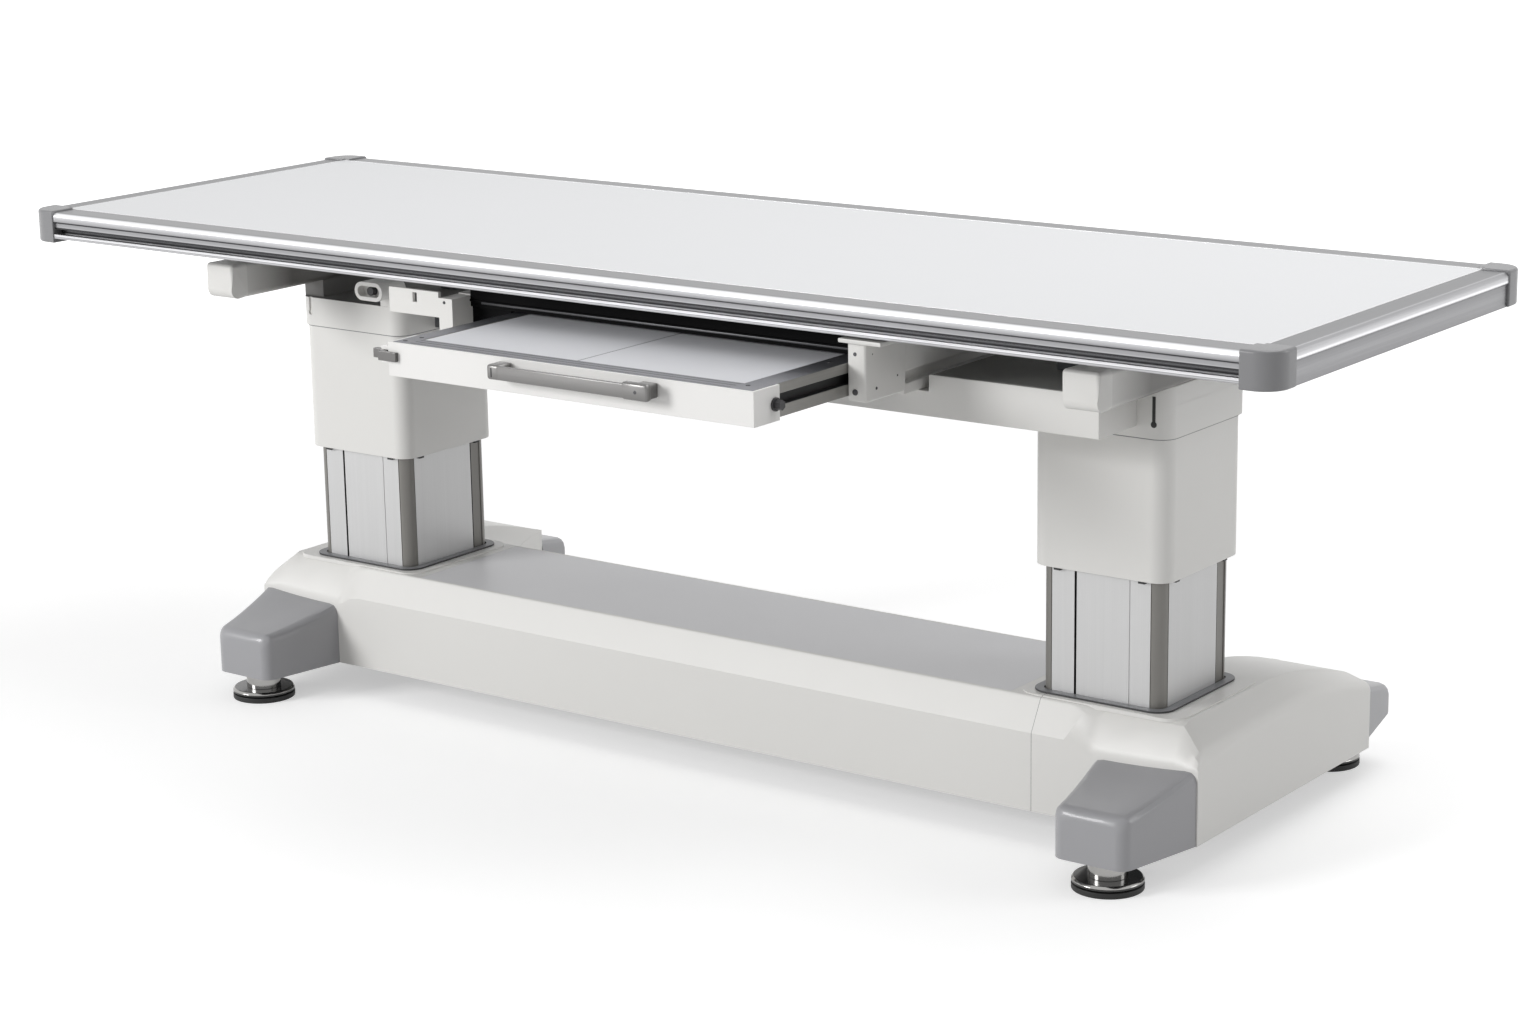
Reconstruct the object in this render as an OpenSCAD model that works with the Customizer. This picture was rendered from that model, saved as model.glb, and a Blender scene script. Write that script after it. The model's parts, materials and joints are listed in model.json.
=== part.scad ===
// Elevating radiography table. A four-way floating top runs on a carriage over two
// cross beams, which stand on two telescopic columns. A bucky carriage with a
// pull-out cassette tray hangs on two rails between the columns.
// Millimetres. X runs along the table, Y from the front to the rear, Z up.
// The origin is on the floor, under the centre of the whole outline.

/* [Table top] */
// Length of the top over the corner caps
top_l = 2200; // [2080:10:2400]
// Width of the top over the corner caps
top_w = 720; // [700:5:800]
// Height of the tabletop above the floor
top_h = 770; // [760:5:800]
// Thickness of the laminate panel
panel_t = 18; // [14:1:19]
// Width of the aluminium strip along each long side
rim_w = 45; // [42:1:50]
// Width of the aluminium strip along each short end
rim_l = 42; // [38:1:50]
// Height of the rail on the long sides
rim_h = 41; // [40:0.5:42]
// Height of the rail on the short ends
end_rim_h = 48; // [42:1:52]
// Wall of the aluminium rails
rim_wall = 3; // [2:0.5:3.5]
// Mouth of the accessory slot in the long sides
slot_mouth = 8; // [7:0.5:9]
// Reach of a corner cap along each side
cap_leg = 52; // [48:1:60]
// Corner radius of a cap
cap_r = 34; // [20:1:40]
// Height of the caps over the panel
cap_over = 2.5; // [1:0.5:4]
// How far the caps stand proud of the rails
cap_proud = 2; // [1:0.5:3]
// Offset of the floating top from the columns, along X
top_shift_x = -26; // [-60:1:60]
// Offset of the floating top from the columns, along Y
top_shift_y = 4; // [-20:1:20]

/* [Columns] */
// Distance between the two columns
column_pitch = 1360; // [1320:10:1400]
// Width of the square aluminium profile
profile_w = 190; // [180:1:200]
// Corner radius of the profile
profile_r = 18; // [10:1:22]
// Wall of the profile
profile_wall = 8; // [7:0.5:10]
// Height of the profile's upper end over the floor
profile_top = 438; // [430:1:441]
// Play between the profile and the painted sleeve
sleeve_gap = 7; // [5:0.5:9]
// Wall of the painted sleeve
sleeve_wall = 4; // [3:0.5:5]
// Length of the painted sleeve
sleeve_h = 198; // [190:1:205]
// Outer corner radius of the sleeve and the head
sleeve_r = 25; // [18:1:32]
// How far the column head stands proud of the sleeve
head_step = 2.5; // [1:0.5:4]
// Height of the column head
head_h = 45; // [40:1:50]
// Thickness of the head's top plate
head_plate = 12; // [8:1:16]
// Width of the inner column
inner_w = 150; // [140:1:156]
// Wall of the inner column
inner_wall = 4; // [3:0.5:6]
// Diameter of the lift spindle
spindle_d = 24; // [20:1:28]
// Diameter of the lift motor
motor_d = 124; // [100:2:130]
// Height of the lift motor
motor_h = 44; // [38:1:44]

/* [Base] */
// Length of the base over its end faces
base_l = 1724; // [1700:4:1760]
// Height of the base's top face
base_top = 202; // [196:1:206]
// Height of the lower edge of the base covers
base_clear = 44; // [42:1:50]
// Distance from the columns to the front face of the spine
spine_front = 147; // [143:1:155]
// Distance from the columns to the rear face of the spine
spine_rear = 140; // [140:1:150]
// Distance from the columns to the rear face of the end covers
foot_rear = 362; // [355:1:366]
// Height at which the front face of the spine turns into its slope
chamfer_z = 157; // [150:1:165]
// Wall of the base covers
cover_wall = 4; // [3:0.5:5]
// Place of the seam between the two base covers
seam_x = 602; // [598:1:610]
// Distance from the middle to the left end of the grey plate
plate_left = 544; // [480:1:548]
// Distance from the middle to the right end of the grey plate
plate_right = 552; // [480:1:554]
// Thickness of the grey plate on the spine
plate_t = 3; // [2:0.5:4]

/* [Feet] */
// Distance of the levelling feet from the middle, along X
foot_x = 780; // [776:1:784]
// Distance of the front levelling feet from the columns
foot_front = 240; // [236:1:244]
// Distance of the rear levelling feet from the columns
foot_back = 390; // [386:1:394]
// Diameter of a foot's plate
foot_d = 98; // [90:1:104]
// Diameter of a foot's chromed neck
neck_d = 54; // [44:1:54]
// Diameter of a foot's screw
stud_d = 20; // [16:1:24]
// Thickness of the rubber pad
pad_t = 8; // [5:0.5:9]
// Wall of the grey foot covers
foot_wall = 3; // [2:0.5:3.5]

/* [Float frame] */
// Width of a cross beam
beam_w = 57; // [52:1:57]
// Height of a cross beam
beam_h = 54; // [48:1:58]
// Distance of the cross beams' ends from the top's edges
beam_inset = 60; // [55:1:70]
// Distance of the cross beams from the middle
beam_x = 767.5; // [764:0.5:768]
// Wall of a cross beam
beam_wall = 3.5; // [3:0.5:5]
// Diameter of a roller under the top
roller_d = 17.4; // [16:0.1:17.4]
// Width of a roller
roller_w = 24; // [18:1:24]
// Thickness of a tie bar of the carriage
tie_w = 18; // [16:1:18]

/* [Bucky] */
// Distance from the middle to the left side of the bucky housing
bucky_left = 255; // [245:1:260]
// Distance from the middle to the right side of the bucky housing
bucky_right = 437; // [436:1:437]
// Depth of the bucky housing from front to rear
bucky_d = 600; // [560:5:600]
// Height of the bucky housing
bucky_h = 30; // [28:1:30]
// Wall of the bucky housing
bucky_wall = 4; // [3:0.5:4]
// Thickness of the scatter grid
grid_t = 6; // [4:0.5:8]

/* [Tray] */
// Distance from the columns to the front face of the tray
tray_front_y = 555; // [540:1:570]
// Length of the tray
tray_l = 615; // [560:5:630]
// Distance from the middle to the left edge of the tray
tray_left = 178; // [170:1:178]
// Distance from the middle to the right end of the front panel
tray_right = 442; // [440:1:444]
// Height of the tray
tray_h = 47; // [44:1:47]
// Sheet thickness of the front panel
tray_sheet = 4; // [3:0.5:5]
// Length of the front panel's returns
return_l = 56; // [54:1:78]
// Length of the bow handle
handle_l = 272; // [200:4:320]
// Height of the bow handle's bar
handle_h = 20; // [14:1:24]
// Reach of the bow handle in front of the panel
handle_reach = 29; // [24:1:36]

/* [Hidden] */
$fn = 48;

// Colours
paint = [0.86, 0.86, 0.84];
laminate = [0.93, 0.93, 0.94];
aluminium = [0.72, 0.73, 0.74];
cap_grey = [0.54, 0.54, 0.55];
foot_grey = [0.60, 0.60, 0.62];
plate_grey = [0.76, 0.77, 0.78];
dark = [0.12, 0.12, 0.13];
steel_grey = [0.42, 0.43, 0.44];
chrome = [0.80, 0.80, 0.82];
bronze = [0.70, 0.52, 0.28];

// Clearances
eps = 1;          // overrun of a cut
seat_gap = 0.3;   // gap between pieces that slide on flat faces
fit_gap = 0.05;   // radial play of a shaft in its bore
skip_gap = 2;     // room between pieces that pass each other

// Where the main planes lie, counted down from the tabletop
panel_under = top_h - panel_t;
rim_under = top_h - rim_h;
end_rim_under = top_h - end_rim_h;
beam_drop = 62;
beam_top = top_h - beam_drop;
beam_under = beam_top - beam_h;
head_drop = 143;
head_top = top_h - head_drop;
head_under = head_top - head_h;
sleeve_under = head_under - sleeve_h;
bucky_drop = 48;
bucky_top = top_h - bucky_drop;
bucky_under = bucky_top - bucky_h;
tray_drop = 80;
tray_top = top_h - tray_drop;
tray_under = tray_top - tray_h;

// Top
panel_x = top_l / 2 - rim_l;
panel_y = top_w / 2 - rim_w;
rim_depth = rim_w - cap_proud;
roll_r = 8;             // rounding of the upper outer edge
band_step = 3;          // how far the band stands back from the roll
roll_z = 15;            // depth of the roll's face under the tabletop
line_t = 1.5;           // thin groove under the roll
line_deep = 2;
slot_z = 26;            // top of the slot's mouth under the tabletop
slot_neck = 8;          // depth of the slot's mouth
slot_deep = 16;         // depth of the whole slot
slot_lip = 2.5;         // how far the slot widens behind its mouth, each way
ledge_in = 14;          // ledge that carries the panel's long edges
end_ledge_in = cap_leg - rim_l;
inner_web = 8;          // place of the inner web from the panel's edge
end_face_step = 2;
cap_bevel = 2.5;
cap_under = top_h - end_rim_h;

// Columns
col_x = column_pitch / 2;
profile_h2 = profile_w / 2;
sleeve_in = profile_h2 + sleeve_gap;
sleeve_out = sleeve_in + sleeve_wall;
head_out = sleeve_out + head_step;
profile_in = profile_h2 - profile_wall;
groove_x = -40;         // dark groove in the front face
groove_w = 3.5;
groove_deep = 4.5;
line_x = 45;            // fine line in the front face
fine_w = 1.2;
fine_deep = 1;
side_groove_y = 57;     // groove in the side face
band_w = 21;            // recessed band behind that groove
band_deep = 1.5;
post_y = 78;            // fine line beside each rounded corner
inner_h2 = inner_w / 2;
inner_under = 295;
riser_y = 95;
slot_key_x = 84;        // recess in the head's front face
key_w = 6;
key_deep = 3;
key_h = 24;
key_r = 4.5;
pad_w = 10;
pad_h = 12;
pad_show = 4;           // how far the sleeve's pads show under its edge
pad_off = 66;           // place of the pads from the face's middle
guide_w = 60;
guide_h = 50;
guide_lift = 6;         // guides start this far over the inner column's end
nut_flange = 10;
nut_h = 45;
nut_d = 44;
spindle_top = 436;
journal_d = 16;
journal_l = 36;

// Base
base_half = base_l / 2;
frame_under = 62;
frame_tube_y = 97;      // inner face of the long tubes
frame_tube_w = 36;
frame_tube_h = 68;
frame_tube_wall = 5;
frame_end = 806;
arm_w = 50;
arm_h = 38;
arm_front = 262;
arm_rear = 418;
foot_plate_t = 12;
column_foot = frame_under + foot_plate_t;
arm_top = frame_under + arm_h;
chamfer_y = 122;        // distance of the slope's upper edge from the columns
flat_rear = 129;        // where the top starts to fall towards the rear
spine_crease = 115;
rear_fall = 49;         // fall of the top towards the rear edge
edge_drop = 28;         // fall of the top towards the end face
front_dip = 13;         // how much lower the crest lies at the front
rear_relief = 16;       // how much less the end falls at the rear
root_from = 660;        // where the slope's lower edge drops to the foot covers
root_to = 704;
crest_r = 10;           // rounding of the crest at the end face
shoulder_in = 40;       // where the end's slope starts, from the end face
shoulder_x = base_half - shoulder_in;
flare_from = 490;       // where the rear of the spine starts to widen
flare_to = 702;
flare_bend = 3;
fall_bend = 1.6;
gasket_half = 108;
gasket_h = 3;
gasket_r = 27;
pad_rise = 1.5;         // raised field round each column
pad_inner = 558;        // its ends and half depth
pad_outer = 816;
pad_half = 118;
field_r = 30;
opening = 100;          // half width of the opening round a column
opening_r = 20;
// Shares of the way from the shoulder to the crest, and round the crest
root_share = [0.3, 0.6, 0.85];
slope_share = [0, 0.35, 0.7];
crest_share = [0, 0.4, 0.7, 0.9, 1];
flare_share = [0, 0.25, 0.42, 0.56, 0.67, 0.77, 0.86, 0.94, 1];
crisp_share = 0.06;      // rounding of the slope's upper edge, at the spine and at the ends
soft_share = 0.75;
soft_run = 26;
bend_steps = 3;
fall_steps = 6;

// Foot covers
cover_front = 288;      // front face from the columns
cover_front_in = 722;   // inner and outer corner at the front face
cover_front_out = 832;
cover_back_in = 700;    // inner and outer corner at the base
cover_back_out = 860;
cover_tip_z = 117;      // height of the front edge
cover_root_z = 140;     // height at the base
root_rise = 9;          // rise of that height towards the outer corner
cover_edge_r = 15;
rear_cover_end = 450;
rear_cover_in = 718;
rear_cover_out = 854;
rear_root_z = 135;      // height at the base and at the end
rear_cover_z = 118;
rear_lift_a = 60;       // lower edge of the rear covers at the base and at the end
rear_lift_b = 78;
side_share = [0, 0.015, 0.05, 0.11, 0.3, 0.5, 0.7, 0.89, 0.95, 0.985, 1];
round_steps = 5;
run_steps = 5;

// Levelling feet
plate_z = pad_t;
foot_plate_h = 9;
foot_bevel = 3;
neck_top = 50;
stud_top = 104;

// Float frame
beam_half = top_w / 2 - beam_inset;
beam_r = 8;
cap_l = 32;
beam_nose_r = 15;
beam_edge_r = 6;
guide_rail_w = 16;
guide_rail_h = 7;
channel_inset = 16;      // place of the channels from the panel's long edges
channel_w = 35;
channel_far = panel_y - channel_inset;
channel_near = channel_far - channel_w;
roller_side_gap = 4;
roller_y = channel_near + roller_side_gap;
ear_back = 18;
ear_end = 12;
tie_inset = 16;
ear_y = roller_y - ear_back;
saddle_w = 49;
saddle_t = 10;
saddle_y = ear_y + ear_end;
tie_y = ear_y - tie_inset;
tie_drop = 38;
tie_under = top_h - tie_drop;
tie_len = beam_x + saddle_w / 2;
tie_wall = 2.5;
ear_t = 8;
ear_l = 36;
ear_h = 28;
pin_d = 8;
channel_wall = 3;
channel_h = roller_d + 2 * seat_gap + 2 * channel_wall;
channel_end = 28;
roller_z = panel_under - channel_wall - seat_gap - roller_d / 2;

// Bucky and its rails
rail_in = 66;
rail_w = 20;
rail_h = 16;
rail_drop = 24;
rail_top = top_h - rail_drop;
rail_end = 640;
post_l = 34;
post_near = 62;
post_far = 90;
shoe_l = 60;
shoe_wall = 6;
shoe_inset = 30;        // place of the shoes from the housing's sides
guide_box = 73;         // width of the drive box beside the tray
guide_box_drop = 130;   // lower edges under the tabletop
side_low_drop = 137;
left_block_drop = 124;
flange_low_drop = 91;
flange_up_drop = 54;
guide_box_under = top_h - guide_box_drop;
box_sheet = 3;
slide_h = 15;           // height of the slot in the tray's side rails
slide_z = 14;           // top of that slot under the tray's top
slide_deep = 10;
slide_key = 9;          // reach of the keys into the tray's rails
ledge_w = 10;
ledge_t = 4;
grid_drop = 20;
grid_under = bucky_top - grid_drop;
bead_r = 2;
bead_z = 9;
side_w = 25;            // width of the bucky's side channels
side_under = top_h - side_low_drop;
side_slot_z = 46;       // top of the outer slot under the channel's top
side_slot_h = 16;
side_slot_deep = 12;
side_drop = 12;         // channel's top under the housing's top
block_front = 340;
block_rear = 246;
block_w = 28;
block_under = top_h - guide_box_drop;
left_block_rear = 300;
left_block_w = 26;
left_block_under = top_h - left_block_drop;
flange_l = 96;
flange_t = 6;
flange_under = top_h - flange_low_drop;
flange_up = top_h - flange_up_drop;
flange_slot_w = 8;
flange_slot_h = 14;
flange_slot_x = 50;
shoe_plate_t = 6;
shoe_plate_front = 350;
shoe_plate_left = 9;
shoe_plate_right = 31;

// Control box and tie beam
box_front = 206;
box_left = 190;
box_right = 740;
box_step = 475;
box_drop = 173;
box_under = top_h - box_drop;
box_low = 35;
box_high = 58;
box_wall = 2.5;
box_ledge = 3;
lid_t = 2;
lid_sink = 5;
tie_beam_y = 30;
tie_beam_h = 40;
tie_beam_wall = 3;

// Lock magnet
magnet_x = 598;
magnet_y = 150;
magnet_l = 54;
magnet_w = 57;
magnet_h = 29;
magnet_ring = 6;
magnet_sink = 14;
magnet_lift = 16;
magnet_foot = 30;
magnet_foot_y = 96;
magnet_foot_l = 12;
core_d = 14;
core_out = 10;

// Tray
rail_bar = 18;
strip_t = 4;
strip_front = 34;
strip_right = 37;
strip_left = 27;
strip_rear = 20;
pan_t = 2;
cassette_t = 6;
cassette_sink = 1;
cassette_line = 0.8;
cassette_split = 0.495;  // share of the cassette's length along X
split_deep_share = 0.15;
handle_x = 20;
handle_top = 5;
handle_t = 6;
handle_post = 20;
handle_r = 2.9;
latch_x = 192;
latch_y = 541;
latch_h = 13;
latch_z = 13;
latch_d = 16;
latch_pin_d = 8;
latch_lug_t = 5;
latch_lug_w = 17;
latch_tip = 28;
latch_neck = 4;
latch_tip_t = 6;
latch_back = 24;
latch_under = tray_top - latch_z - latch_h;
knob_y = 510;
knob_drop = 24;
knob_d = 14;
knob_l = 12;
knob_washer_d = 18;
knob_washer_t = 3;
knob_shank_d = 8;
knob_bore_l = 5;

// Middle of the whole outline
origin_x = top_shift_x;
origin_y = (rear_cover_end - tray_front_y - handle_reach) / 2;

// Shared shapes

module placed() {
    translate([-origin_x, -origin_y, 0]) children();
}

module on_top() {
    placed() translate([top_shift_x, top_shift_y, 0]) children();
}

module on_side(side) {
    if (side < 0) mirror([1, 0, 0]) children();
    else children();
}

module block(lo, hi) {
    translate(lo) cube(hi - lo);
}

module along_x(from, to) {
    translate([from, 0, 0]) rotate([90, 0, 90]) linear_extrude(to - from) children();
}

module along_y(from, to) {
    translate([0, to, 0]) rotate([90, 0, 0]) linear_extrude(to - from) children();
}

module upright(from, to) {
    translate([0, 0, from]) linear_extrude(to - from) children();
}

module round_rect(w, d, r) {
    square([w - 2 * r, d], center = true);
    square([w, d - 2 * r], center = true);
    for (x = [-1, 1], y = [-1, 1])
        translate([x * (w / 2 - r), y * (d / 2 - r)]) circle(r = r);
}

module round_tube(half_out, half_in, r, from, to) {
    difference() {
        upright(from, to) round_rect(2 * half_out, 2 * half_out, r);
        upright(from - eps, to + eps)
            round_rect(2 * half_in, 2 * half_in, max(r - half_out + half_in, eps));
    }
}

// Closed skin over a row of rings that hold the same number of points
module skin(rings) {
    count = len(rings[0]);
    last = len(rings) - 1;
    points = [for (ring = rings) each ring];
    walls = [for (i = [0 : last - 1], k = [0 : count - 1])
        let (a = i * count + k, b = i * count + (k + 1) % count,
             c = a + count, d = b + count)
        each [[a, c, b], [b, c, d]]];
    start = [for (k = [0 : count - 1]) k];
    end = [for (k = [count - 1 : -1 : 0]) last * count + k];
    polyhedron(points, concat([start], walls, [end]));
}

function clamp01(t) = max(0, min(1, t));
function mix(a, b, t) = a + (b - a) * t;
function arc_drop(r, s) = r * (1 - sqrt(max(0, 1 - s * s)));
function ease(t) = t * t * (3 - 2 * t);
function bend(a, b, c, t) = mix(mix(a, b, t), mix(b, c, t), t);

// Table top

module rim_section() {
    difference() {
        polygon([
            [0, top_h],
            [rim_depth - roll_r, top_h],
            for (a = [75 : -15 : 15])
                [rim_depth - roll_r + roll_r * cos(a), top_h - roll_r + roll_r * sin(a)],
            [rim_depth, top_h - roll_r],
            [rim_depth, top_h - roll_z],
            [rim_depth - band_step - line_deep, top_h - roll_z],
            [rim_depth - band_step - line_deep, top_h - roll_z - line_t],
            [rim_depth - band_step, top_h - roll_z - line_t],
            [rim_depth - band_step, top_h - slot_z],
            [rim_depth - slot_neck, top_h - slot_z],
            [rim_depth - slot_neck, top_h - slot_z + slot_lip],
            [rim_depth - slot_deep, top_h - slot_z + slot_lip],
            [rim_depth - slot_deep, top_h - slot_z - slot_mouth - slot_lip],
            [rim_depth - slot_neck, top_h - slot_z - slot_mouth - slot_lip],
            [rim_depth - slot_neck, top_h - slot_z - slot_mouth],
            [rim_depth, top_h - slot_z - slot_mouth],
            [rim_depth, rim_under],
            [inner_web, rim_under],
            [inner_web, panel_under - rim_wall],
            [-ledge_in, panel_under - rim_wall],
            [-ledge_in, panel_under],
            [0, panel_under]
        ]);
        translate([inner_web + rim_wall, rim_under + rim_wall])
            square([rim_depth - slot_deep - inner_web - 2 * rim_wall,
                    panel_under - rim_under - 2 * rim_wall]);
        translate([rim_wall, panel_under + rim_wall])
            square([rim_depth - band_step - line_deep - 2 * rim_wall,
                    panel_t - 2 * rim_wall]);
    }
}

module side_rim(side) {
    along_x(-top_l / 2 + cap_leg, top_l / 2 - cap_leg)
        mirror([side < 0 ? 1 : 0, 0]) translate([panel_y, 0]) rim_section();
}

module end_rim_section() {
    depth = rim_l - cap_proud;
    difference() {
        polygon([
            [0, top_h],
            [depth - roll_r, top_h],
            for (a = [75 : -15 : 15])
                [depth - roll_r + roll_r * cos(a), top_h - roll_r + roll_r * sin(a)],
            [depth, top_h - roll_r],
            [depth, top_h - roll_z],
            [depth - end_face_step, top_h - roll_z - line_t],
            [depth - end_face_step, end_rim_under],
            [inner_web, end_rim_under],
            [inner_web, panel_under - rim_wall],
            [-end_ledge_in, panel_under - rim_wall],
            [-end_ledge_in, panel_under],
            [0, panel_under]
        ]);
        translate([inner_web + rim_wall, end_rim_under + rim_wall])
            square([depth - end_face_step - inner_web - 2 * rim_wall,
                    panel_under - end_rim_under - rim_wall]);
    }
}

module end_rim(side) {
    on_side(side) along_y(-top_w / 2 + cap_leg, top_w / 2 - cap_leg)
        translate([panel_x, 0]) end_rim_section();
}

module cap_outline(inset) {
    r = cap_r - inset;
    difference() {
        translate([top_l / 2 - cap_leg, top_w / 2 - cap_leg])
            square([cap_leg - inset, cap_leg - inset]);
        translate([top_l / 2 - cap_r, top_w / 2 - cap_r]) square(cap_r + eps);
    }
    translate([top_l / 2 - cap_r, top_w / 2 - cap_r]) intersection() {
        circle(r = r);
        square(cap_r + eps);
    }
}

module corner_cap() {
    difference() {
        hull() {
            upright(cap_under, cap_under + cap_bevel) cap_outline(cap_bevel / 2);
            upright(cap_under + cap_bevel, top_h) cap_outline(0);
            upright(top_h, top_h + cap_over) cap_outline(cap_bevel);
        }
        block([0, 0, panel_under - rim_wall],
              [panel_x, panel_y, top_h + cap_over + eps]);
        block([0, 0, cap_under - eps],
              [panel_x + inner_web, panel_y + inner_web, panel_under - rim_wall]);
    }
}

module top_panel() {
    color(laminate) on_top()
        block([-panel_x, -panel_y, panel_under], [panel_x, panel_y, top_h]);
}

module rim_front() {
    color(aluminium) on_top() side_rim(-1);
}

module rim_rear() {
    color(aluminium) on_top() side_rim(1);
}

module rim_ends() {
    color(aluminium) on_top() for (side = [-1, 1]) end_rim(side);
}

module corner_caps() {
    color(cap_grey) on_top()
        for (x = [0, 1], y = [0, 1])
            mirror([x, 0, 0]) mirror([0, y, 0]) corner_cap();
}

module top_rails() {
    length = panel_x - channel_end;
    color(aluminium) on_top() for (side = [0, 1]) mirror([0, side, 0])
        difference() {
            block([-length, channel_near, panel_under - channel_h],
                  [length, channel_far, panel_under]);
            block([-length - eps, channel_near - eps, panel_under - channel_h + channel_wall],
                  [length + eps, channel_far - channel_wall, panel_under - channel_wall]);
        }
}

// Floating carriage

module saddle() {
    difference() {
        union() {
            block([-saddle_w / 2, -saddle_y, beam_top + seat_gap],
                  [saddle_w / 2, saddle_y, beam_top + saddle_t]);
            for (side = [0, 1]) mirror([0, side, 0]) {
                block([-saddle_w / 2, tie_y - tie_w / 2, beam_top + saddle_t],
                      [saddle_w / 2, tie_y + tie_w / 2, tie_under]);
                block([-ear_l / 2, ear_y, beam_top + saddle_t],
                      [ear_l / 2, ear_y + ear_t, beam_top + saddle_t + ear_h]);
                translate([0, ear_y + ear_t, roller_z]) rotate([-90, 0, 0])
                    cylinder(d = pin_d, h = roller_y + roller_w - ear_y - ear_t + seat_gap);
            }
        }
        block([-guide_rail_w / 2 - seat_gap, -saddle_y - eps, beam_top],
              [guide_rail_w / 2 + seat_gap, saddle_y + eps,
               beam_top + guide_rail_h + seat_gap]);
    }
}

module carriage_saddles() {
    color(steel_grey) on_carriage() for (side = [-1, 1])
        translate([side * beam_x, 0, 0]) saddle();
}

module on_carriage() {
    placed() translate([0, top_shift_y, 0]) children();
}

module carriage_ties() {
    color(steel_grey) on_carriage() for (side = [-1, 1])
        translate([0, side * tie_y, 0]) difference() {
            block([-tie_len, -tie_w / 2, tie_under],
                  [tie_len, tie_w / 2, tie_under + tie_w]);
            block([-tie_len - eps, -tie_w / 2 + tie_wall, tie_under + tie_wall],
                  [tie_len + eps, tie_w / 2 - tie_wall, tie_under + tie_w - tie_wall]);
        }
}

module top_roller(side_x, side_y) {
    color(dark) on_carriage() mirror([0, side_y < 0 ? 1 : 0, 0])
        translate([side_x * beam_x, roller_y, roller_z]) rotate([-90, 0, 0])
            difference() {
                cylinder(d = roller_d, h = roller_w);
                translate([0, 0, -eps])
                    cylinder(r = pin_d / 2 + fit_gap, h = roller_w + 2 * eps);
            }
}

module top_roller_front_left() { top_roller(-1, -1); }
module top_roller_front_right() { top_roller(1, -1); }
module top_roller_rear_left() { top_roller(-1, 1); }
module top_roller_rear_right() { top_roller(1, 1); }

// Cross beams on the column heads

module cross_beams() {
    color(paint) placed() for (side = [-1, 1]) translate([side * beam_x, 0, 0]) {
        difference() {
            along_y(-beam_half + cap_l, beam_half - cap_l)
                translate([0, beam_under + beam_h / 2]) round_rect(beam_w, beam_h, beam_r);
            along_y(-beam_half, beam_half)
                translate([0, beam_under + beam_h / 2])
                    square([beam_w - 2 * beam_wall, beam_h - 2 * beam_wall], center = true);
        }
        block([-guide_rail_w / 2, -beam_half + cap_l, beam_top - beam_wall / 2],
              [guide_rail_w / 2, beam_half - cap_l, beam_top + guide_rail_h]);
    }
}

module beam_end_cap() {
    slab = cap_l / 16;
    hull() {
        along_y(-beam_half + cap_l - slab, -beam_half + cap_l)
            translate([0, beam_under + beam_h / 2]) round_rect(beam_w, beam_h, beam_r, $fn = 32);
        for (side = [-1, 1]) {
            translate([side * (beam_w / 2 - beam_edge_r), -beam_half + beam_edge_r,
                       beam_top - beam_edge_r]) sphere(r = beam_edge_r, $fn = 24);
            translate([side * (beam_w / 2 - beam_edge_r), -beam_half + beam_nose_r,
                       beam_under + beam_nose_r]) rotate([0, 90, 0])
                cylinder(r = beam_nose_r, h = beam_edge_r, center = true, $fn = 32);
        }
    }
}

module beam_end_caps() {
    color(paint) placed() for (side = [-1, 1], rear = [0, 1])
        translate([side * beam_x, 0, 0]) mirror([0, rear, 0]) beam_end_cap();
}

// Column heads, sleeves and inner parts

module column_head(side) {
    color(paint) placed() on_side(side) difference() {
        union() {
            translate([col_x, 0, 0]) upright(head_under, head_top)
                round_rect(2 * head_out, 2 * head_out, sleeve_r);
            block([beam_x - beam_w / 2 + beam_r, -riser_y, head_top],
                  [col_x + head_out - skip_gap, riser_y, beam_under]);
        }
        translate([col_x, 0, 0]) upright(head_under - eps, head_top - head_plate)
            round_rect(2 * sleeve_in, 2 * sleeve_in, sleeve_r - head_out + sleeve_in);
        translate([col_x + slot_key_x, -head_out, head_top - key_h]) rotate([90, 0, 0])
            translate([0, 0, -key_deep]) cylinder(r = key_r, h = key_deep + eps);
        block([col_x + slot_key_x - key_w / 2, -head_out - eps, head_top - key_h],
              [col_x + slot_key_x + key_w / 2, -head_out + key_deep, head_top + eps]);
    }
}

module column_head_left() { column_head(-1); }
module column_head_right() { column_head(1); }

module column_sleeve(side) {
    color(paint) placed() translate([side * col_x, 0, 0])
        round_tube(sleeve_out, sleeve_in, sleeve_r, sleeve_under, head_under);
}

module column_sleeve_left() { column_sleeve(-1); }
module column_sleeve_right() { column_sleeve(1); }

module column_pads() {
    for (turn = [0 : 90 : 270]) rotate([0, 0, turn]) {
        for (s = [-1, 1])
            block([s * pad_off - pad_w / 2, -sleeve_in, sleeve_under - pad_show],
                  [s * pad_off + pad_w / 2, -profile_h2 - seat_gap,
                   sleeve_under - pad_show + pad_h]);
        block([-guide_w / 2, -profile_in + seat_gap, inner_under + guide_lift],
              [guide_w / 2, -inner_h2, inner_under + guide_lift + guide_h]);
    }
}

module guide_pads() {
    color(dark) placed() for (side = [-1, 1]) translate([side * col_x, 0, 0]) column_pads();
}

module inner_columns() {
    color(aluminium) placed() for (side = [-1, 1]) translate([side * col_x, 0, 0])
        difference() {
            block([-inner_h2, -inner_h2, inner_under],
                  [inner_h2, inner_h2, head_top - head_plate]);
            block([-inner_h2 + inner_wall, -inner_h2 + inner_wall, inner_under - eps],
                  [inner_h2 - inner_wall, inner_h2 - inner_wall, head_top]);
        }
}

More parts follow.
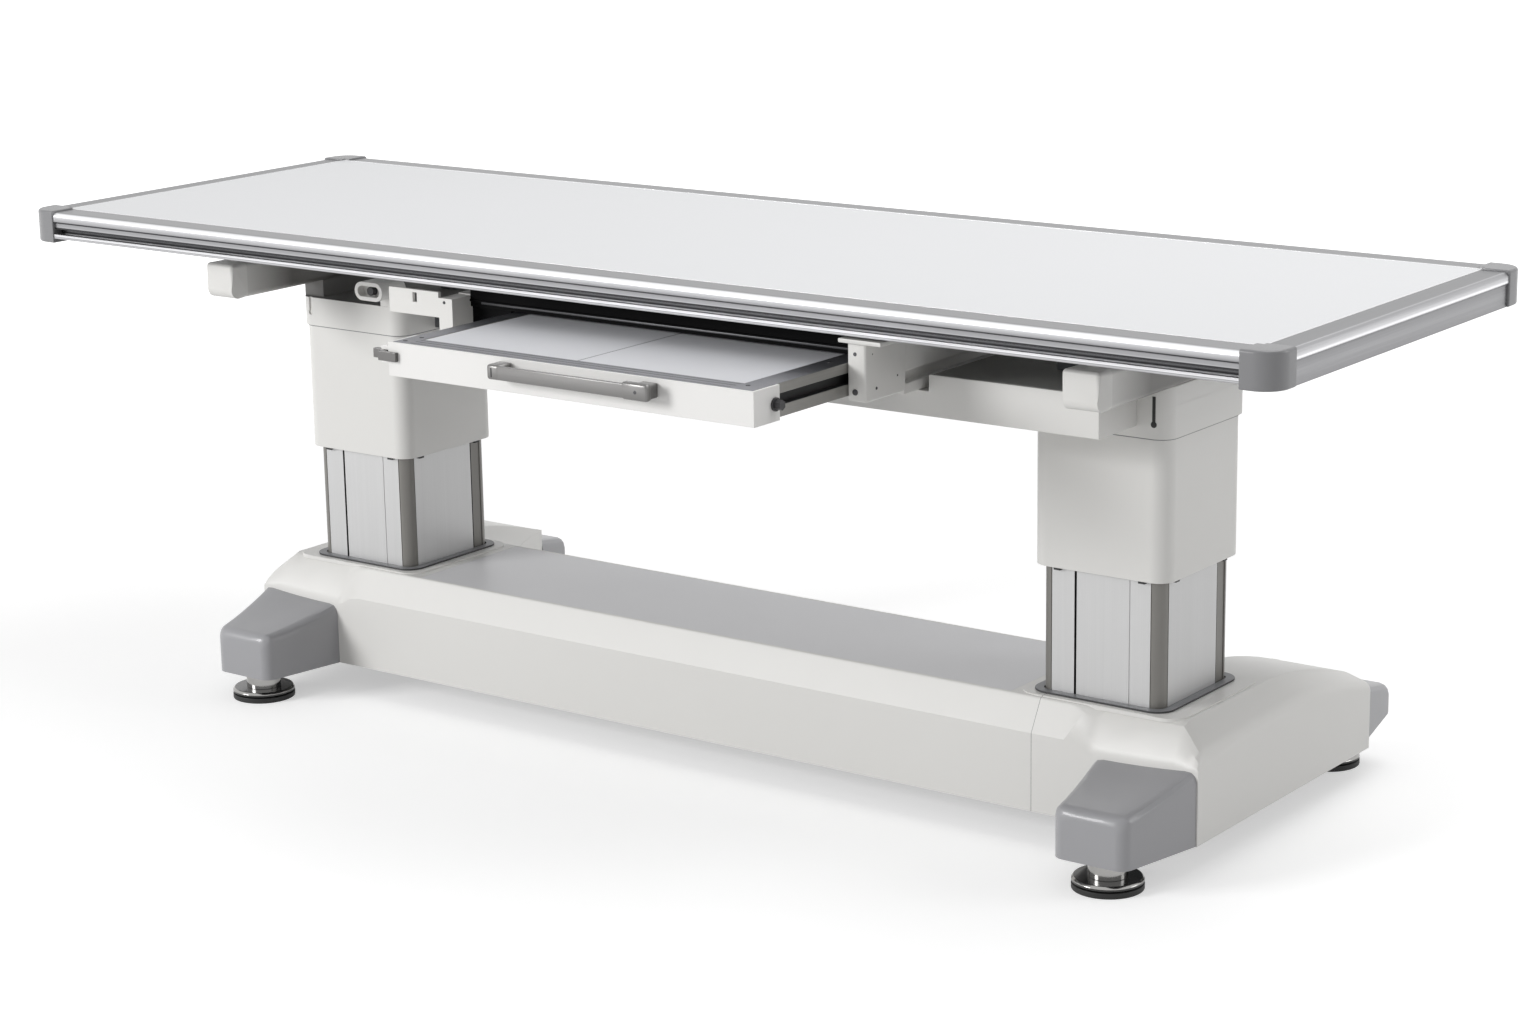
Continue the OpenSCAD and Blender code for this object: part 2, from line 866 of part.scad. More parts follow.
module spindle_nuts() {
    half = inner_h2 - inner_wall;
    color(bronze) placed() for (side = [-1, 1]) translate([side * col_x, 0, inner_under])
        difference() {
            union() {
                block([-half, -half, 0], [half, half, nut_flange]);
                cylinder(d = nut_d, h = nut_h);
            }
            translate([0, 0, -eps]) cylinder(r = spindle_d / 2 + fit_gap, h = nut_h + 2 * eps);
        }
}

module lift_spindle(side) {
    start = column_foot + motor_h + seat_gap;
    color(chrome) placed() translate([side * col_x, 0, 0]) {
        translate([0, 0, start - seat_gap - journal_l])
            cylinder(d = journal_d, h = journal_l + seat_gap);
        translate([0, 0, start]) cylinder(d = spindle_d, h = spindle_top - start);
    }
}

module lift_spindle_left() { lift_spindle(-1); }
module lift_spindle_right() { lift_spindle(1); }

module lift_motors() {
    color(steel_grey) placed() for (side = [-1, 1])
        translate([side * col_x, 0, column_foot]) difference() {
            cylinder(d = motor_d, h = motor_h);
            translate([0, 0, motor_h - journal_l - seat_gap])
                cylinder(r = journal_d / 2 + fit_gap, h = journal_l + seat_gap + eps);
        }
}

module profile_section() {
    difference() {
        round_rect(profile_w, profile_w, profile_r);
        round_rect(2 * profile_in, 2 * profile_in, profile_r - profile_wall);
        for (turn = [0, 180]) rotate(turn) {
            translate([groove_x - groove_w / 2, -profile_h2 - eps])
                square([groove_w, groove_deep + eps]);
            translate([line_x - fine_w / 2, -profile_h2 - eps])
                square([fine_w, fine_deep + eps]);
            translate([profile_h2 - groove_deep, side_groove_y - groove_w / 2])
                square([groove_deep + eps, groove_w]);
            translate([profile_h2 - band_deep, side_groove_y])
                square([band_deep + eps, band_w]);
            for (s = [-1, 1]) translate([s * post_y - fine_w / 2, -profile_h2 - eps])
                square([fine_w, fine_deep + eps]);
            translate([profile_h2 - fine_deep, -post_y - fine_w / 2])
                square([fine_deep + eps, fine_w]);
        }
    }
}

module column_profile(side) {
    color(aluminium) placed() translate([side * col_x, 0, 0])
        upright(column_foot, profile_top) profile_section();
}

module column_profile_left() { column_profile(-1); }
module column_profile_right() { column_profile(1); }

module column_gaskets() {
    color(steel_grey) placed() for (side = [-1, 1]) translate([side * col_x, 0, 0])
        round_tube(gasket_half, profile_h2 + seat_gap, gasket_r,
                   base_top + pad_rise, base_top + pad_rise + gasket_h);
}

// Base covers: one skin whose cross sections change along the table

function rear_share(x) = pow(clamp01((x - flare_from) / (flare_to - flare_from)), flare_bend);
function rear_edge(x) = mix(spine_rear, foot_rear, rear_share(x));
function end_share(x) = clamp01((x - shoulder_x) / (base_half - shoulder_x));
function end_depth(y) =
    edge_drop + front_dip * pow(clamp01(-y / spine_front), 2)
    - rear_relief * pow(clamp01(y / foot_rear), 2);
function crest_z(x, y, wall) =
    base_top - wall - end_share(x) * end_depth(y)
    - arc_drop(crest_r, clamp01((x - base_half + crest_r) / crest_r));
function fall(x, t) =
    mix((base_top - chamfer_z) * t, rear_fall * pow(t, fall_bend), rear_share(x));

// Height at which the foot covers meet the base, from their inner to their outer edge
function root_z(s) = cover_root_z + root_rise * s * s;
function root_ease(x) = ease(clamp01((x - root_from) / (root_to - root_from)));
function slope_foot(x) =
    mix(chamfer_z, root_z(clamp01((x - cover_back_in) / (cover_back_out - cover_back_in))),
        root_ease(x));

// One cross section of the covers at a distance x from the middle
function cover_ring(x, wall, low) =
    let (
        front = -spine_front + wall,
        rear = rear_edge(x) - wall,
        turn = mix(spine_crease, flat_rear, rear_share(x)) - wall / 2,
        brow = -mix(chamfer_y, spine_front - crest_r / 2, end_share(x)) + wall / 2,
        next = brow + soft_run,
        upper = [brow, crest_z(x, brow, wall)],
        lower = [front, min(slope_foot(x) - wall / 2, upper[1] - crest_r / 5)],
        soft = mix(crisp_share, soft_share, root_ease(x))
    )
    [
        [front, low],
        lower,
        for (k = [0 : bend_steps])
            bend(mix(upper, lower, soft), upper,
                 mix(upper, [next, crest_z(x, next, wall)], soft), k / bend_steps),
        for (k = [1, 2])
            let (y = mix(next, turn, k / 3)) [y, crest_z(x, y, wall)],
        for (k = [0 : fall_steps])
            let (t = k / fall_steps, y = mix(turn, rear, t))
            [y, crest_z(x, y, wall) - fall(x, t)],
        [rear, low]
    ];

function half_stations() = concat(
    [0],
    [for (s = flare_share) mix(flare_from, flare_to, s)],
    [for (s = root_share) mix(flare_to, shoulder_x, s)],
    [for (s = slope_share) mix(shoulder_x, base_half - crest_r, s)],
    [for (s = crest_share) base_half - crest_r * (1 - s)]
);

function stations() =
    let (half = half_stations(), last = len(half) - 1)
    concat([for (k = [last : -1 : 1]) half[k]], [for (x = half) -x]);

module cover_skin(wall, low) {
    shrink = (base_half - wall) / base_half;
    skin([for (x = stations())
        [for (p = cover_ring(abs(x), wall, low)) [x * shrink, p[0], p[1]]]]);
}

module base_shell() {
    difference() {
        union() {
            cover_skin(0, base_clear);
            for (side = [-1, 1]) column_field(side);
        }
        difference() {
            cover_skin(cover_wall, base_clear - eps);
            for (side = [-1, 1]) column_field(side);
        }
        for (side = [-1, 1]) {
            translate([side * col_x, 0, 0])
                upright(base_top - 2 * cover_wall, base_top + pad_rise + eps)
                round_rect(2 * opening, 2 * opening, opening_r);
            translate([side * foot_x, 0, 0])
                block([-arm_w / 2 - skip_gap - eps, -spine_front - eps, base_clear - eps],
                      [arm_w / 2 + skip_gap + eps, foot_rear + eps, arm_top]);
        }
        plate_recess(0, base_top - plate_t, base_top + eps);
    }
    difference() {
        plate_recess(-cover_wall, base_top - plate_t - cover_wall, base_top - plate_t);
        plate_recess(plate_t * cover_wall, base_top - plate_t - cover_wall - eps, base_top);
    }
}

// Raised field that a column and its gasket stand in
module column_field(side) {
    translate([side * (pad_inner + pad_outer) / 2, 0, 0])
        upright(base_top - cover_wall, base_top + pad_rise)
            round_rect(pad_outer - pad_inner, 2 * pad_half, field_r);
}

// Room for the grey plate, drawn in by an inset
module plate_recess(inset, from, to) {
    block([-plate_left + inset, -chamfer_y + plate_t + inset, from],
          [plate_right - inset, spine_crease - plate_t - inset, to]);
}

module base_cover_left() {
    color(paint) placed() intersection() {
        base_shell();
        block([-base_half - eps, -spine_front - eps, 0],
              [seam_x - seat_gap / 2, foot_rear + eps, base_top + 2 * eps + pad_rise]);
    }
}

module base_cover_right() {
    color(paint) placed() intersection() {
        base_shell();
        block([seam_x + seat_gap / 2, -spine_front - eps, 0],
              [base_half + eps, foot_rear + eps, base_top + 2 * eps + pad_rise]);
    }
}

module spine_top_plate() {
    color(plate_grey) placed() plate_recess(seat_gap, base_top - plate_t, base_top);
}

// Foot covers: a skin whose sections follow the foot

function side_round(x, from, to, r) =
    arc_drop(r, clamp01(1 - min(x - from, to - x) / r));

function foot_ring(y, from, to, top_z, rise, low, r) =
    concat(
        [[from, y, low]],
        [for (s = side_share)
            let (x = mix(from, to, s)) [x, y, top_z + rise * s * s - side_round(x, from, to, r)]],
        [[to, y, low]]
    );

// Way along a foot cover: 0 at its tip and 1 at the base
function front_foot_ring(y, inset, low) =
    let (t = clamp01((y + cover_front) / (cover_front - spine_front)))
    foot_ring(y, mix(cover_front_in, cover_back_in, t) + inset,
              mix(cover_front_out, cover_back_out, t) - inset,
              mix(cover_tip_z, cover_root_z, pow(t, fall_bend)) - inset, root_rise * t,
              low, cover_edge_r);

function rear_foot_ring(y, inset, low_a, low_b) =
    let (t = clamp01((rear_cover_end - y) / (rear_cover_end - foot_rear)))
    foot_ring(y, mix(rear_cover_in, cover_back_in, t) + inset,
              mix(rear_cover_out, base_half, t) - inset,
              mix(rear_cover_z, rear_root_z, t) - inset, 0,
              mix(low_b, low_a, t), cover_edge_r);

function tip_rings(wall, low) =
    [for (k = [0 : round_steps])
        let (a = 90 * k / round_steps)
        front_foot_ring(-cover_front + wall + cover_edge_r * (1 - cos(a)),
                        wall + cover_edge_r * (1 - sin(a)), low)];

function run_rings(wall, low, back) =
    [for (k = [1 : run_steps])
        front_foot_ring(mix(-cover_front + wall + cover_edge_r, back, k / run_steps), wall, low)];

module front_foot_cover(side) {
    color(foot_grey) placed() on_side(side) difference() {
        skin(concat(tip_rings(0, base_clear), run_rings(0, base_clear, -spine_front)));
        skin(concat(tip_rings(foot_wall, base_clear - eps),
                    run_rings(foot_wall, base_clear - eps, -spine_front + eps)));
    }
}

function rear_tip_rings(wall, drop) =
    [for (k = [round_steps : -1 : 0])
        let (a = 90 * k / round_steps)
        rear_foot_ring(rear_cover_end - wall - cover_edge_r * (1 - cos(a)),
                       wall + cover_edge_r * (1 - sin(a)), rear_lift_a - drop, rear_lift_b - drop)];

function rear_run_rings(wall, drop, start) =
    [for (k = [0 : run_steps - 1])
        rear_foot_ring(mix(start, rear_cover_end - wall - cover_edge_r, k / run_steps),
                       wall, rear_lift_a - drop, rear_lift_b - drop)];

module rear_foot_cover(side) {
    color(foot_grey) placed() on_side(side) difference() {
        skin(concat(rear_run_rings(0, 0, foot_rear), rear_tip_rings(0, 0)));
        skin(concat(rear_run_rings(foot_wall, cover_edge_r, foot_rear - eps),
                    rear_tip_rings(foot_wall, cover_edge_r)));
    }
}

module foot_cover_front_left() { front_foot_cover(-1); }
module foot_cover_front_right() { front_foot_cover(1); }
module foot_cover_rear_left() { rear_foot_cover(-1); }
module foot_cover_rear_right() { rear_foot_cover(1); }

// Welded frame inside the base

module frame_half() {
    difference() {
        union() {
            block([foot_x - arm_w / 2, -arm_front, frame_under],
                  [foot_x + arm_w / 2, -frame_tube_y, arm_top]);
            block([foot_x - arm_w / 2, frame_tube_y, frame_under],
                  [foot_x + arm_w / 2, arm_rear, arm_top]);
            block([col_x - profile_h2 - skip_gap, -frame_tube_y, frame_under],
                  [foot_x + arm_w / 2, frame_tube_y, column_foot]);
        }
        for (y = [-foot_front, foot_back]) translate([foot_x, y, frame_under - eps])
            cylinder(r = stud_d / 2 + fit_gap, h = arm_h + 2 * eps);
    }
}

module base_frame() {
    color(steel_grey) placed() {
        for (side = [0, 1]) mirror([0, side, 0]) difference() {
            block([-frame_end, frame_tube_y, frame_under],
                  [frame_end, frame_tube_y + frame_tube_w, frame_under + frame_tube_h]);
            block([-frame_end - eps, frame_tube_y + frame_tube_wall,
                   frame_under + frame_tube_wall],
                  [frame_end + eps, frame_tube_y + frame_tube_w - frame_tube_wall,
                   frame_under + frame_tube_h - frame_tube_wall]);
        }
        for (side = [-1, 1]) on_side(side) frame_half();
    }
}

// Levelling feet

module levelling_foot(side, y) {
    color(chrome) placed() translate([side * foot_x, y, plate_z]) rotate_extrude()
        polygon([
            [0, 0],
            [foot_d / 2 - foot_bevel, 0],
            [foot_d / 2, foot_bevel],
            [foot_d / 2, foot_plate_h - foot_bevel],
            [foot_d / 2 - foot_bevel, foot_plate_h],
            [neck_d / 2, foot_plate_h],
            [neck_d / 2, neck_top - plate_z],
            [stud_d / 2, neck_top - plate_z],
            [stud_d / 2, stud_top - plate_z],
            [0, stud_top - plate_z]
        ]);
}

module foot_pad(side, y) {
    color(dark) placed() translate([side * foot_x, y, 0])
        cylinder(d = foot_d, h = pad_t);
}

module levelling_foot_front_left() { levelling_foot(-1, -foot_front); }
module levelling_foot_front_right() { levelling_foot(1, -foot_front); }
module levelling_foot_rear_left() { levelling_foot(-1, foot_back); }
module levelling_foot_rear_right() { levelling_foot(1, foot_back); }
module foot_pad_front_left() { foot_pad(-1, -foot_front); }
module foot_pad_front_right() { foot_pad(1, -foot_front); }
module foot_pad_rear_left() { foot_pad(-1, foot_back); }
module foot_pad_rear_right() { foot_pad(1, foot_back); }

// Fixed parts under the top, carried by the column heads

module rail_posts() {
    color(steel_grey) placed() for (sx = [0, 1], sy = [0, 1])
        mirror([sx, 0, 0]) mirror([0, sy, 0])
            block([rail_end - post_l, post_near, head_top], [rail_end, post_far, rail_top - rail_h]);
}

module bucky_rails() {
    color(chrome) placed() for (sy = [0, 1]) mirror([0, sy, 0])
        block([-rail_end, rail_in, rail_top - rail_h], [rail_end, rail_in + rail_w, rail_top]);
}

module tie_beam() {
    end = col_x - head_out;
    z = head_under + tie_beam_wall;
    color(steel_grey) placed() difference() {
        block([-end, -tie_beam_y, z], [end, tie_beam_y, z + tie_beam_h]);
        block([-end - eps, -tie_beam_y + tie_beam_wall, z + tie_beam_wall],
              [end + eps, tie_beam_y - tie_beam_wall, z + tie_beam_h - tie_beam_wall]);
    }
}

// Plan of the control box: along the tie beam, then past the column head
module box_plan(inset, from) {
    head_face = head_out;
    inner_end = col_x - head_out;
    polygon([
        [from + inset, -box_front + inset],
        [box_right - inset, -box_front + inset],
        [box_right - inset, -head_face - inset],
        [inner_end - inset, -head_face - inset],
        [inner_end - inset, -tie_beam_y - inset],
        [from + inset, -tie_beam_y - inset]
    ]);
}

module box_high_plan(inset) {
    intersection() {
        box_plan(inset, -box_left);
        translate([box_step + inset, -box_front])
            square([box_right - box_step, box_front - head_out]);
    }
}

module control_box() {
    lid_z = box_under + box_high - lid_sink;
    color(paint) placed() difference() {
        union() {
            upright(box_under, box_under + box_low) box_plan(0, -box_left);
            upright(box_under, box_under + box_high) box_high_plan(0);
        }
        upright(box_under + box_wall, box_under + box_low - box_wall)
            box_plan(box_wall, -box_left);
        upright(box_under + box_wall, lid_z + eps) box_high_plan(box_wall + box_ledge);
        upright(lid_z, box_under + box_high + eps) box_high_plan(box_wall);
    }
}

module control_box_lid() {
    lid_z = box_under + box_high - lid_sink;
    color(dark) placed() upright(lid_z, lid_z + lid_t) box_high_plan(box_wall + seat_gap);
}

module stadium(w, h) {
    square([w - h, h], center = true);
    for (s = [-1, 1]) translate([s * (w - h) / 2, 0]) circle(d = h);
}

module lock_magnet() {
    z = head_top + magnet_lift + magnet_h / 2;
    color(paint) placed() translate([-magnet_x, 0, 0]) {
        difference() {
            along_y(-magnet_y, -magnet_y + magnet_l)
                translate([0, z]) stadium(magnet_w, magnet_h);
            along_y(-magnet_y - eps, -magnet_y + magnet_sink)
                translate([0, z])
                    stadium(magnet_w - 2 * magnet_ring, magnet_h - 2 * magnet_ring);
        }
        block([-magnet_foot / 2, -magnet_foot_y - magnet_foot_l, head_top],
              [magnet_foot / 2, -magnet_foot_y, head_top + magnet_lift + magnet_ring]);
    }
}

module magnet_core() {
    z = head_top + magnet_lift + magnet_h / 2;
    color(dark) placed() translate([-magnet_x, -magnet_y + magnet_sink, z])
        rotate([90, 0, 0]) cylinder(d = core_d, h = core_out);
}

// Bucky carriage: its shoes hang on the two rails

module bucky_shoe() {
    difference() {
        block([0, rail_in - shoe_wall, bucky_top],
              [shoe_l, rail_in + rail_w + shoe_wall, rail_top + seat_gap + shoe_wall / 2]);
        block([-eps, rail_in - seat_gap, rail_top - rail_h - seat_gap],
              [shoe_l + eps, rail_in + rail_w + seat_gap, rail_top + seat_gap]);
    }
}

module bucky_housing() {
    front = -bucky_d / 2;
    rear = bucky_d / 2;
    box_x = -bucky_left + guide_box;
    color(dark) placed() {
        difference() {
            block([-bucky_left, front, bucky_under], [bucky_right, rear, bucky_top]);
            block([-bucky_left + bucky_wall, front + bucky_wall, bucky_under - eps],
                  [bucky_right - bucky_wall, rear - bucky_wall, bucky_top - bucky_wall]);
        }
        for (x = [-bucky_left + shoe_inset, bucky_right - shoe_inset - shoe_l], y = [0, 1])
            translate([x, 0, 0]) mirror([0, y, 0]) bucky_shoe();
        for (x = [-bucky_left + bucky_wall, bucky_right - bucky_wall - ledge_w])
            block([x, front + bucky_wall, grid_under - ledge_t],
                  [x + ledge_w, rear - bucky_wall, grid_under]);
        translate([-bucky_left, front, bucky_under + bead_z]) rotate([0, 90, 0])
            cylinder(r = bead_r, h = bucky_left + bucky_right);
        difference() {
            block([-bucky_left, front + bucky_wall, guide_box_under],
                  [box_x, rear - bucky_wall, bucky_under + ledge_t]);
            block([-bucky_left + box_sheet, front + 2 * bucky_wall, guide_box_under - eps],
                  [box_x - box_sheet, rear - 2 * bucky_wall, bucky_under - box_sheet]);
        }
        block([box_x - box_sheet, front + bucky_wall, tray_top - slide_z - slide_h + seat_gap],
              [-tray_left + slide_key, rear - bucky_wall, tray_top - slide_z - seat_gap]);
    }
}

module scatter_grid() {
    color(aluminium) placed()
        block([-bucky_left + bucky_wall + seat_gap, -bucky_d / 2 + bucky_wall + seat_gap,
               grid_under],
              [bucky_right - bucky_wall - seat_gap, bucky_d / 2 - bucky_wall - seat_gap,
               grid_under + grid_t]);
}

module bucky_bracket_left() {
    block_x = -bucky_left - left_block_w;
    color(paint) placed() {
        block([-bucky_left - side_w + skip_gap, -left_block_rear, side_under],
              [-bucky_left, bucky_d / 2, bucky_top - side_drop]);
        block([block_x, -block_front, left_block_under],
              [-bucky_left, -left_block_rear, bucky_top - side_drop - skip_gap]);
        difference() {
            block([block_x - flange_l, -block_front, flange_under],
                  [block_x, -block_front + flange_t, flange_up]);
            translate([block_x - flange_slot_x, -block_front - eps,
                       mix(flange_under, flange_up, 1 / 2)])
                block([0, 0, 0], [flange_slot_w, flange_t + 2 * eps, flange_slot_h]);
        }
    }
}

module bucky_bracket_right() {
    side_x = bucky_right + side_w;
    top_z = bucky_top - side_drop;
    color(paint) placed() difference() {
        union() {
            block([bucky_right, -block_rear, side_under], [side_x, bucky_d / 2, top_z]);
            block([bucky_right, -block_front, block_under],
                  [bucky_right + block_w, -block_rear, top_z]);
            block([bucky_right, -block_front, top_z],
                  [side_x, -block_front + block_w, bucky_top - shoe_plate_t + skip_gap]);
            block([bucky_right - shoe_plate_left, -shoe_plate_front,
                   bucky_top - shoe_plate_t + skip_gap],
                  [bucky_right + block_w + shoe_plate_right, -block_front + block_w,
                   bucky_top + skip_gap]);
            block([bucky_right - slide_key, -block_front + block_w,
                   tray_top - slide_z - slide_h + seat_gap],
                  [bucky_right, bucky_d / 2, tray_top - slide_z - seat_gap]);
        }
        block([side_x - side_slot_deep, -block_rear, top_z - side_slot_z - side_slot_h],
              [side_x + eps, bucky_d / 2 + eps, top_z - side_slot_z]);
    }
}

// Cassette tray

module tray_rail(open_left) {
    mirror([open_left ? 1 : 0, 0, 0]) difference() {
        block([-rail_bar, -tray_front_y + tray_sheet, tray_under + tray_sheet / 2],
              [0, -tray_front_y + tray_l, tray_top - strip_t]);
        block([-slide_deep, -tray_front_y + return_l, tray_top - slide_z - slide_h],
              [eps, -tray_front_y + tray_l + eps, tray_top - slide_z]);
    }
}

module tray_frame() {
    rail_x = bucky_right - seat_gap;
    front = -tray_front_y + tray_sheet;
    rear = -tray_front_y + tray_l;
    under = tray_top - cassette_t - cassette_sink;
    color(aluminium) placed() {
        translate([rail_x, 0, 0]) tray_rail(false);
        translate([-tray_left, 0, 0]) tray_rail(true);
        difference() {
            block([-tray_left, front, tray_top - strip_t], [rail_x, rear, tray_top]);
            block([-tray_left + strip_left, front + strip_front, tray_top - strip_t - eps],
                  [rail_x - strip_right, rear - strip_rear, tray_top + eps]);
        }
        difference() {
            block([-tray_left + rail_bar, front, under - pan_t],
                  [rail_x - rail_bar, rear, tray_top - strip_t]);
            block([-tray_left + strip_left, front + strip_front, under],
                  [rail_x - strip_right, rear - strip_rear, tray_top]);
        }
    }
}

module cassette() {
    rail_x = bucky_right - seat_gap;
    left = -tray_left + strip_left + seat_gap;
    right = rail_x - strip_right - seat_gap;
    front = -tray_front_y + tray_sheet + strip_front + seat_gap;
    rear = -tray_front_y + tray_l - strip_rear - seat_gap;
    top_z = tray_top - cassette_sink;
    split_x = mix(left, right, cassette_split);
    color(laminate) placed() difference() {
        block([left, front, top_z - cassette_t], [right, rear, top_z]);
        block([split_x - cassette_line / 2, front - eps, top_z - cassette_t * split_deep_share],
              [split_x + cassette_line / 2, rear + eps, top_z + eps]);
    }
}

module tray_front() {
    back = -tray_front_y + return_l;
    color(paint) placed() difference() {
        block([-tray_left - tray_sheet, -tray_front_y, tray_under], [tray_right, back, tray_top]);
        block([-tray_left - seat_gap, -tray_front_y + tray_sheet, tray_under + tray_sheet / 2],
              [tray_right - tray_sheet, back + eps, tray_top + eps]);
        translate([tray_right - tray_sheet - eps, -knob_y, tray_top - knob_drop])
            rotate([0, 90, 0]) cylinder(r = knob_shank_d / 2 + fit_gap, h = tray_sheet + 2 * eps);
    }
    color(paint) placed() latch_lugs();
}

module latch_lugs() {
    face = -tray_left - tray_sheet;
    for (z = [latch_under - seat_gap - latch_lug_t, latch_under + latch_h + seat_gap])
        block([-latch_x - latch_d / 2, -latch_y - latch_lug_w / 2, z],
              [face + eps, -latch_y + latch_lug_w / 2, z + latch_lug_t]);
    translate([-latch_x, -latch_y, latch_under - seat_gap - latch_lug_t])
        cylinder(d = latch_pin_d, h = latch_h + 2 * seat_gap + 2 * latch_lug_t);
}

module tray_handle() {
    front = -tray_front_y - handle_reach;
    color(aluminium) placed() translate([handle_x, 0, tray_top - handle_top - handle_h]) {
        translate([handle_l / 2, front + handle_t / 2, 0])
            upright(0, handle_h) round_rect(handle_l, handle_t, handle_r);
        for (x = [handle_r, handle_l - handle_r - handle_post])
            block([x, front + handle_t / 2, 0], [x + handle_post, -tray_front_y, handle_h]);
    }
}

module tray_latch() {
    face = latch_y - tray_front_y - seat_gap;
    color(aluminium) placed() translate([-latch_x, -latch_y, latch_under]) difference() {
        union() {
            cylinder(d = latch_d, h = latch_h);
            block([-latch_neck, face - latch_tip_t, 0], [latch_tip, face, latch_h]);
            block([-latch_neck, face - latch_tip_t, 0], [latch_neck, 0, latch_h]);
            block([-latch_back, -latch_d / 2, 0], [0, 0, latch_h]);
        }
        translate([0, 0, -eps])
            cylinder(r = latch_pin_d / 2 + fit_gap, h = latch_h + 2 * eps);
    }
}

module tray_knob() {
    color(dark) placed() translate([tray_right, -knob_y, tray_top - knob_drop])
        rotate([0, 90, 0]) {
            translate([0, 0, seat_gap]) cylinder(d = knob_washer_d, h = knob_washer_t);
            translate([0, 0, seat_gap]) cylinder(d = knob_d, h = knob_l, $fn = 6);
            translate([0, 0, -knob_bore_l]) cylinder(d = knob_shank_d, h = knob_bore_l + eps);
        }
}

base_frame();
base_cover_left();
base_cover_right();
spine_top_plate();
foot_cover_front_left();
foot_cover_front_right();
foot_cover_rear_left();
foot_cover_rear_right();
levelling_foot_front_left();
levelling_foot_front_right();
levelling_foot_rear_left();
levelling_foot_rear_right();
foot_pad_front_left();
foot_pad_front_right();
foot_pad_rear_left();
foot_pad_rear_right();
column_gaskets();
column_profile_left();
column_profile_right();
lift_motors();
lift_spindle_left();
lift_spindle_right();
spindle_nuts();
inner_columns();
column_sleeve_left();
column_sleeve_right();
guide_pads();
column_head_left();
column_head_right();
cross_beams();
beam_end_caps();
control_box();
control_box_lid();
tie_beam();
rail_posts();
bucky_rails();
lock_magnet();
magnet_core();
carriage_saddles();
carriage_ties();
top_roller_front_left();
top_roller_front_right();
top_roller_rear_left();
top_roller_rear_right();
top_panel();
rim_front();
rim_rear();
rim_ends();
corner_caps();
top_rails();
bucky_housing();
scatter_grid();
bucky_bracket_left();
bucky_bracket_right();
tray_front();
tray_frame();
cassette();
tray_handle();
tray_latch();
tray_knob();
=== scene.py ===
import json
import math

import bmesh
import bpy
from mathutils import Matrix, Vector


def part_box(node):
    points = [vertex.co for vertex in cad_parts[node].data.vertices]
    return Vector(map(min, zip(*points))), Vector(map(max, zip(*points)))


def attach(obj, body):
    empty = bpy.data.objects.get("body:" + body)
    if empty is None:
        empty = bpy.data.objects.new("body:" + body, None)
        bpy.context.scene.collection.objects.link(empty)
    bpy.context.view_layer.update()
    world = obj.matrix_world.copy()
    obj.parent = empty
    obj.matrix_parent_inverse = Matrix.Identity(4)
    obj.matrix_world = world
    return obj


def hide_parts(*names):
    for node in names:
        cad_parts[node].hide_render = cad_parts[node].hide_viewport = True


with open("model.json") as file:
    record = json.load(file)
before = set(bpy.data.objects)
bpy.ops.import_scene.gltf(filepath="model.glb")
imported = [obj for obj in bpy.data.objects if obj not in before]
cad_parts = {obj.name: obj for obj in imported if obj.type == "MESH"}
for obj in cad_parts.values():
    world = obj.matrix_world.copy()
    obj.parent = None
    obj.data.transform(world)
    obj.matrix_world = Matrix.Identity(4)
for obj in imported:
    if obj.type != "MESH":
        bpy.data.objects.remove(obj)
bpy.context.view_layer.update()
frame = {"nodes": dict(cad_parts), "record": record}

# Lengths are in metres, apart from the millimetres that place() takes. The camera and the fittings
# are set out from the columns' middle.


def findMiddle():
    low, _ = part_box("column_profile_left")
    _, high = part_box("column_profile_right")
    return Vector(((low[0] + high[0]) / 2, (low[1] + high[1]) / 2, 0))


designMiddle = findMiddle()


def place(x, y, z):
    # millimetres from the columns' middle to the frame
    return designMiddle + Vector((x, y, z)) * 0.001


def linear(r, g, b):
    # screen colour to scene colour
    def one(c):
        c = c / 255
        return c / 12.92 if c <= 0.04045 else ((c + 0.055) / 1.055) ** 2.4
    return (one(r), one(g), one(b), 1)


# Camera and light


def addMath(tree, kind, a, b=None):
    node = tree.nodes.new("ShaderNodeMath")
    node.operation = kind
    for socket, value in zip(node.inputs, (a, b)):
        if value is None:
            continue
        if isinstance(value, (int, float)):
            socket.default_value = value
        else:
            tree.links.new(value, socket)
    return node.outputs[0]


def seenMask(tree):
    # 1 for the rays that show the background: straight, in a mirror and through glass
    path = tree.nodes.new("ShaderNodeLightPath")
    direct = addMath(tree, "MAXIMUM", path.outputs["Is Camera Ray"], path.outputs["Is Glossy Ray"])
    return addMath(tree, "MAXIMUM", direct, path.outputs["Is Transmission Ray"])


camera = {
    "lens": 77.34,
    "sensor": 36,
    "place": (2880.45, -3822.41, 1554.67),
    "yaw": 36.51,
    "pitch": -14.06,
    "roll": -0.93,
    "farClip": 60,
}


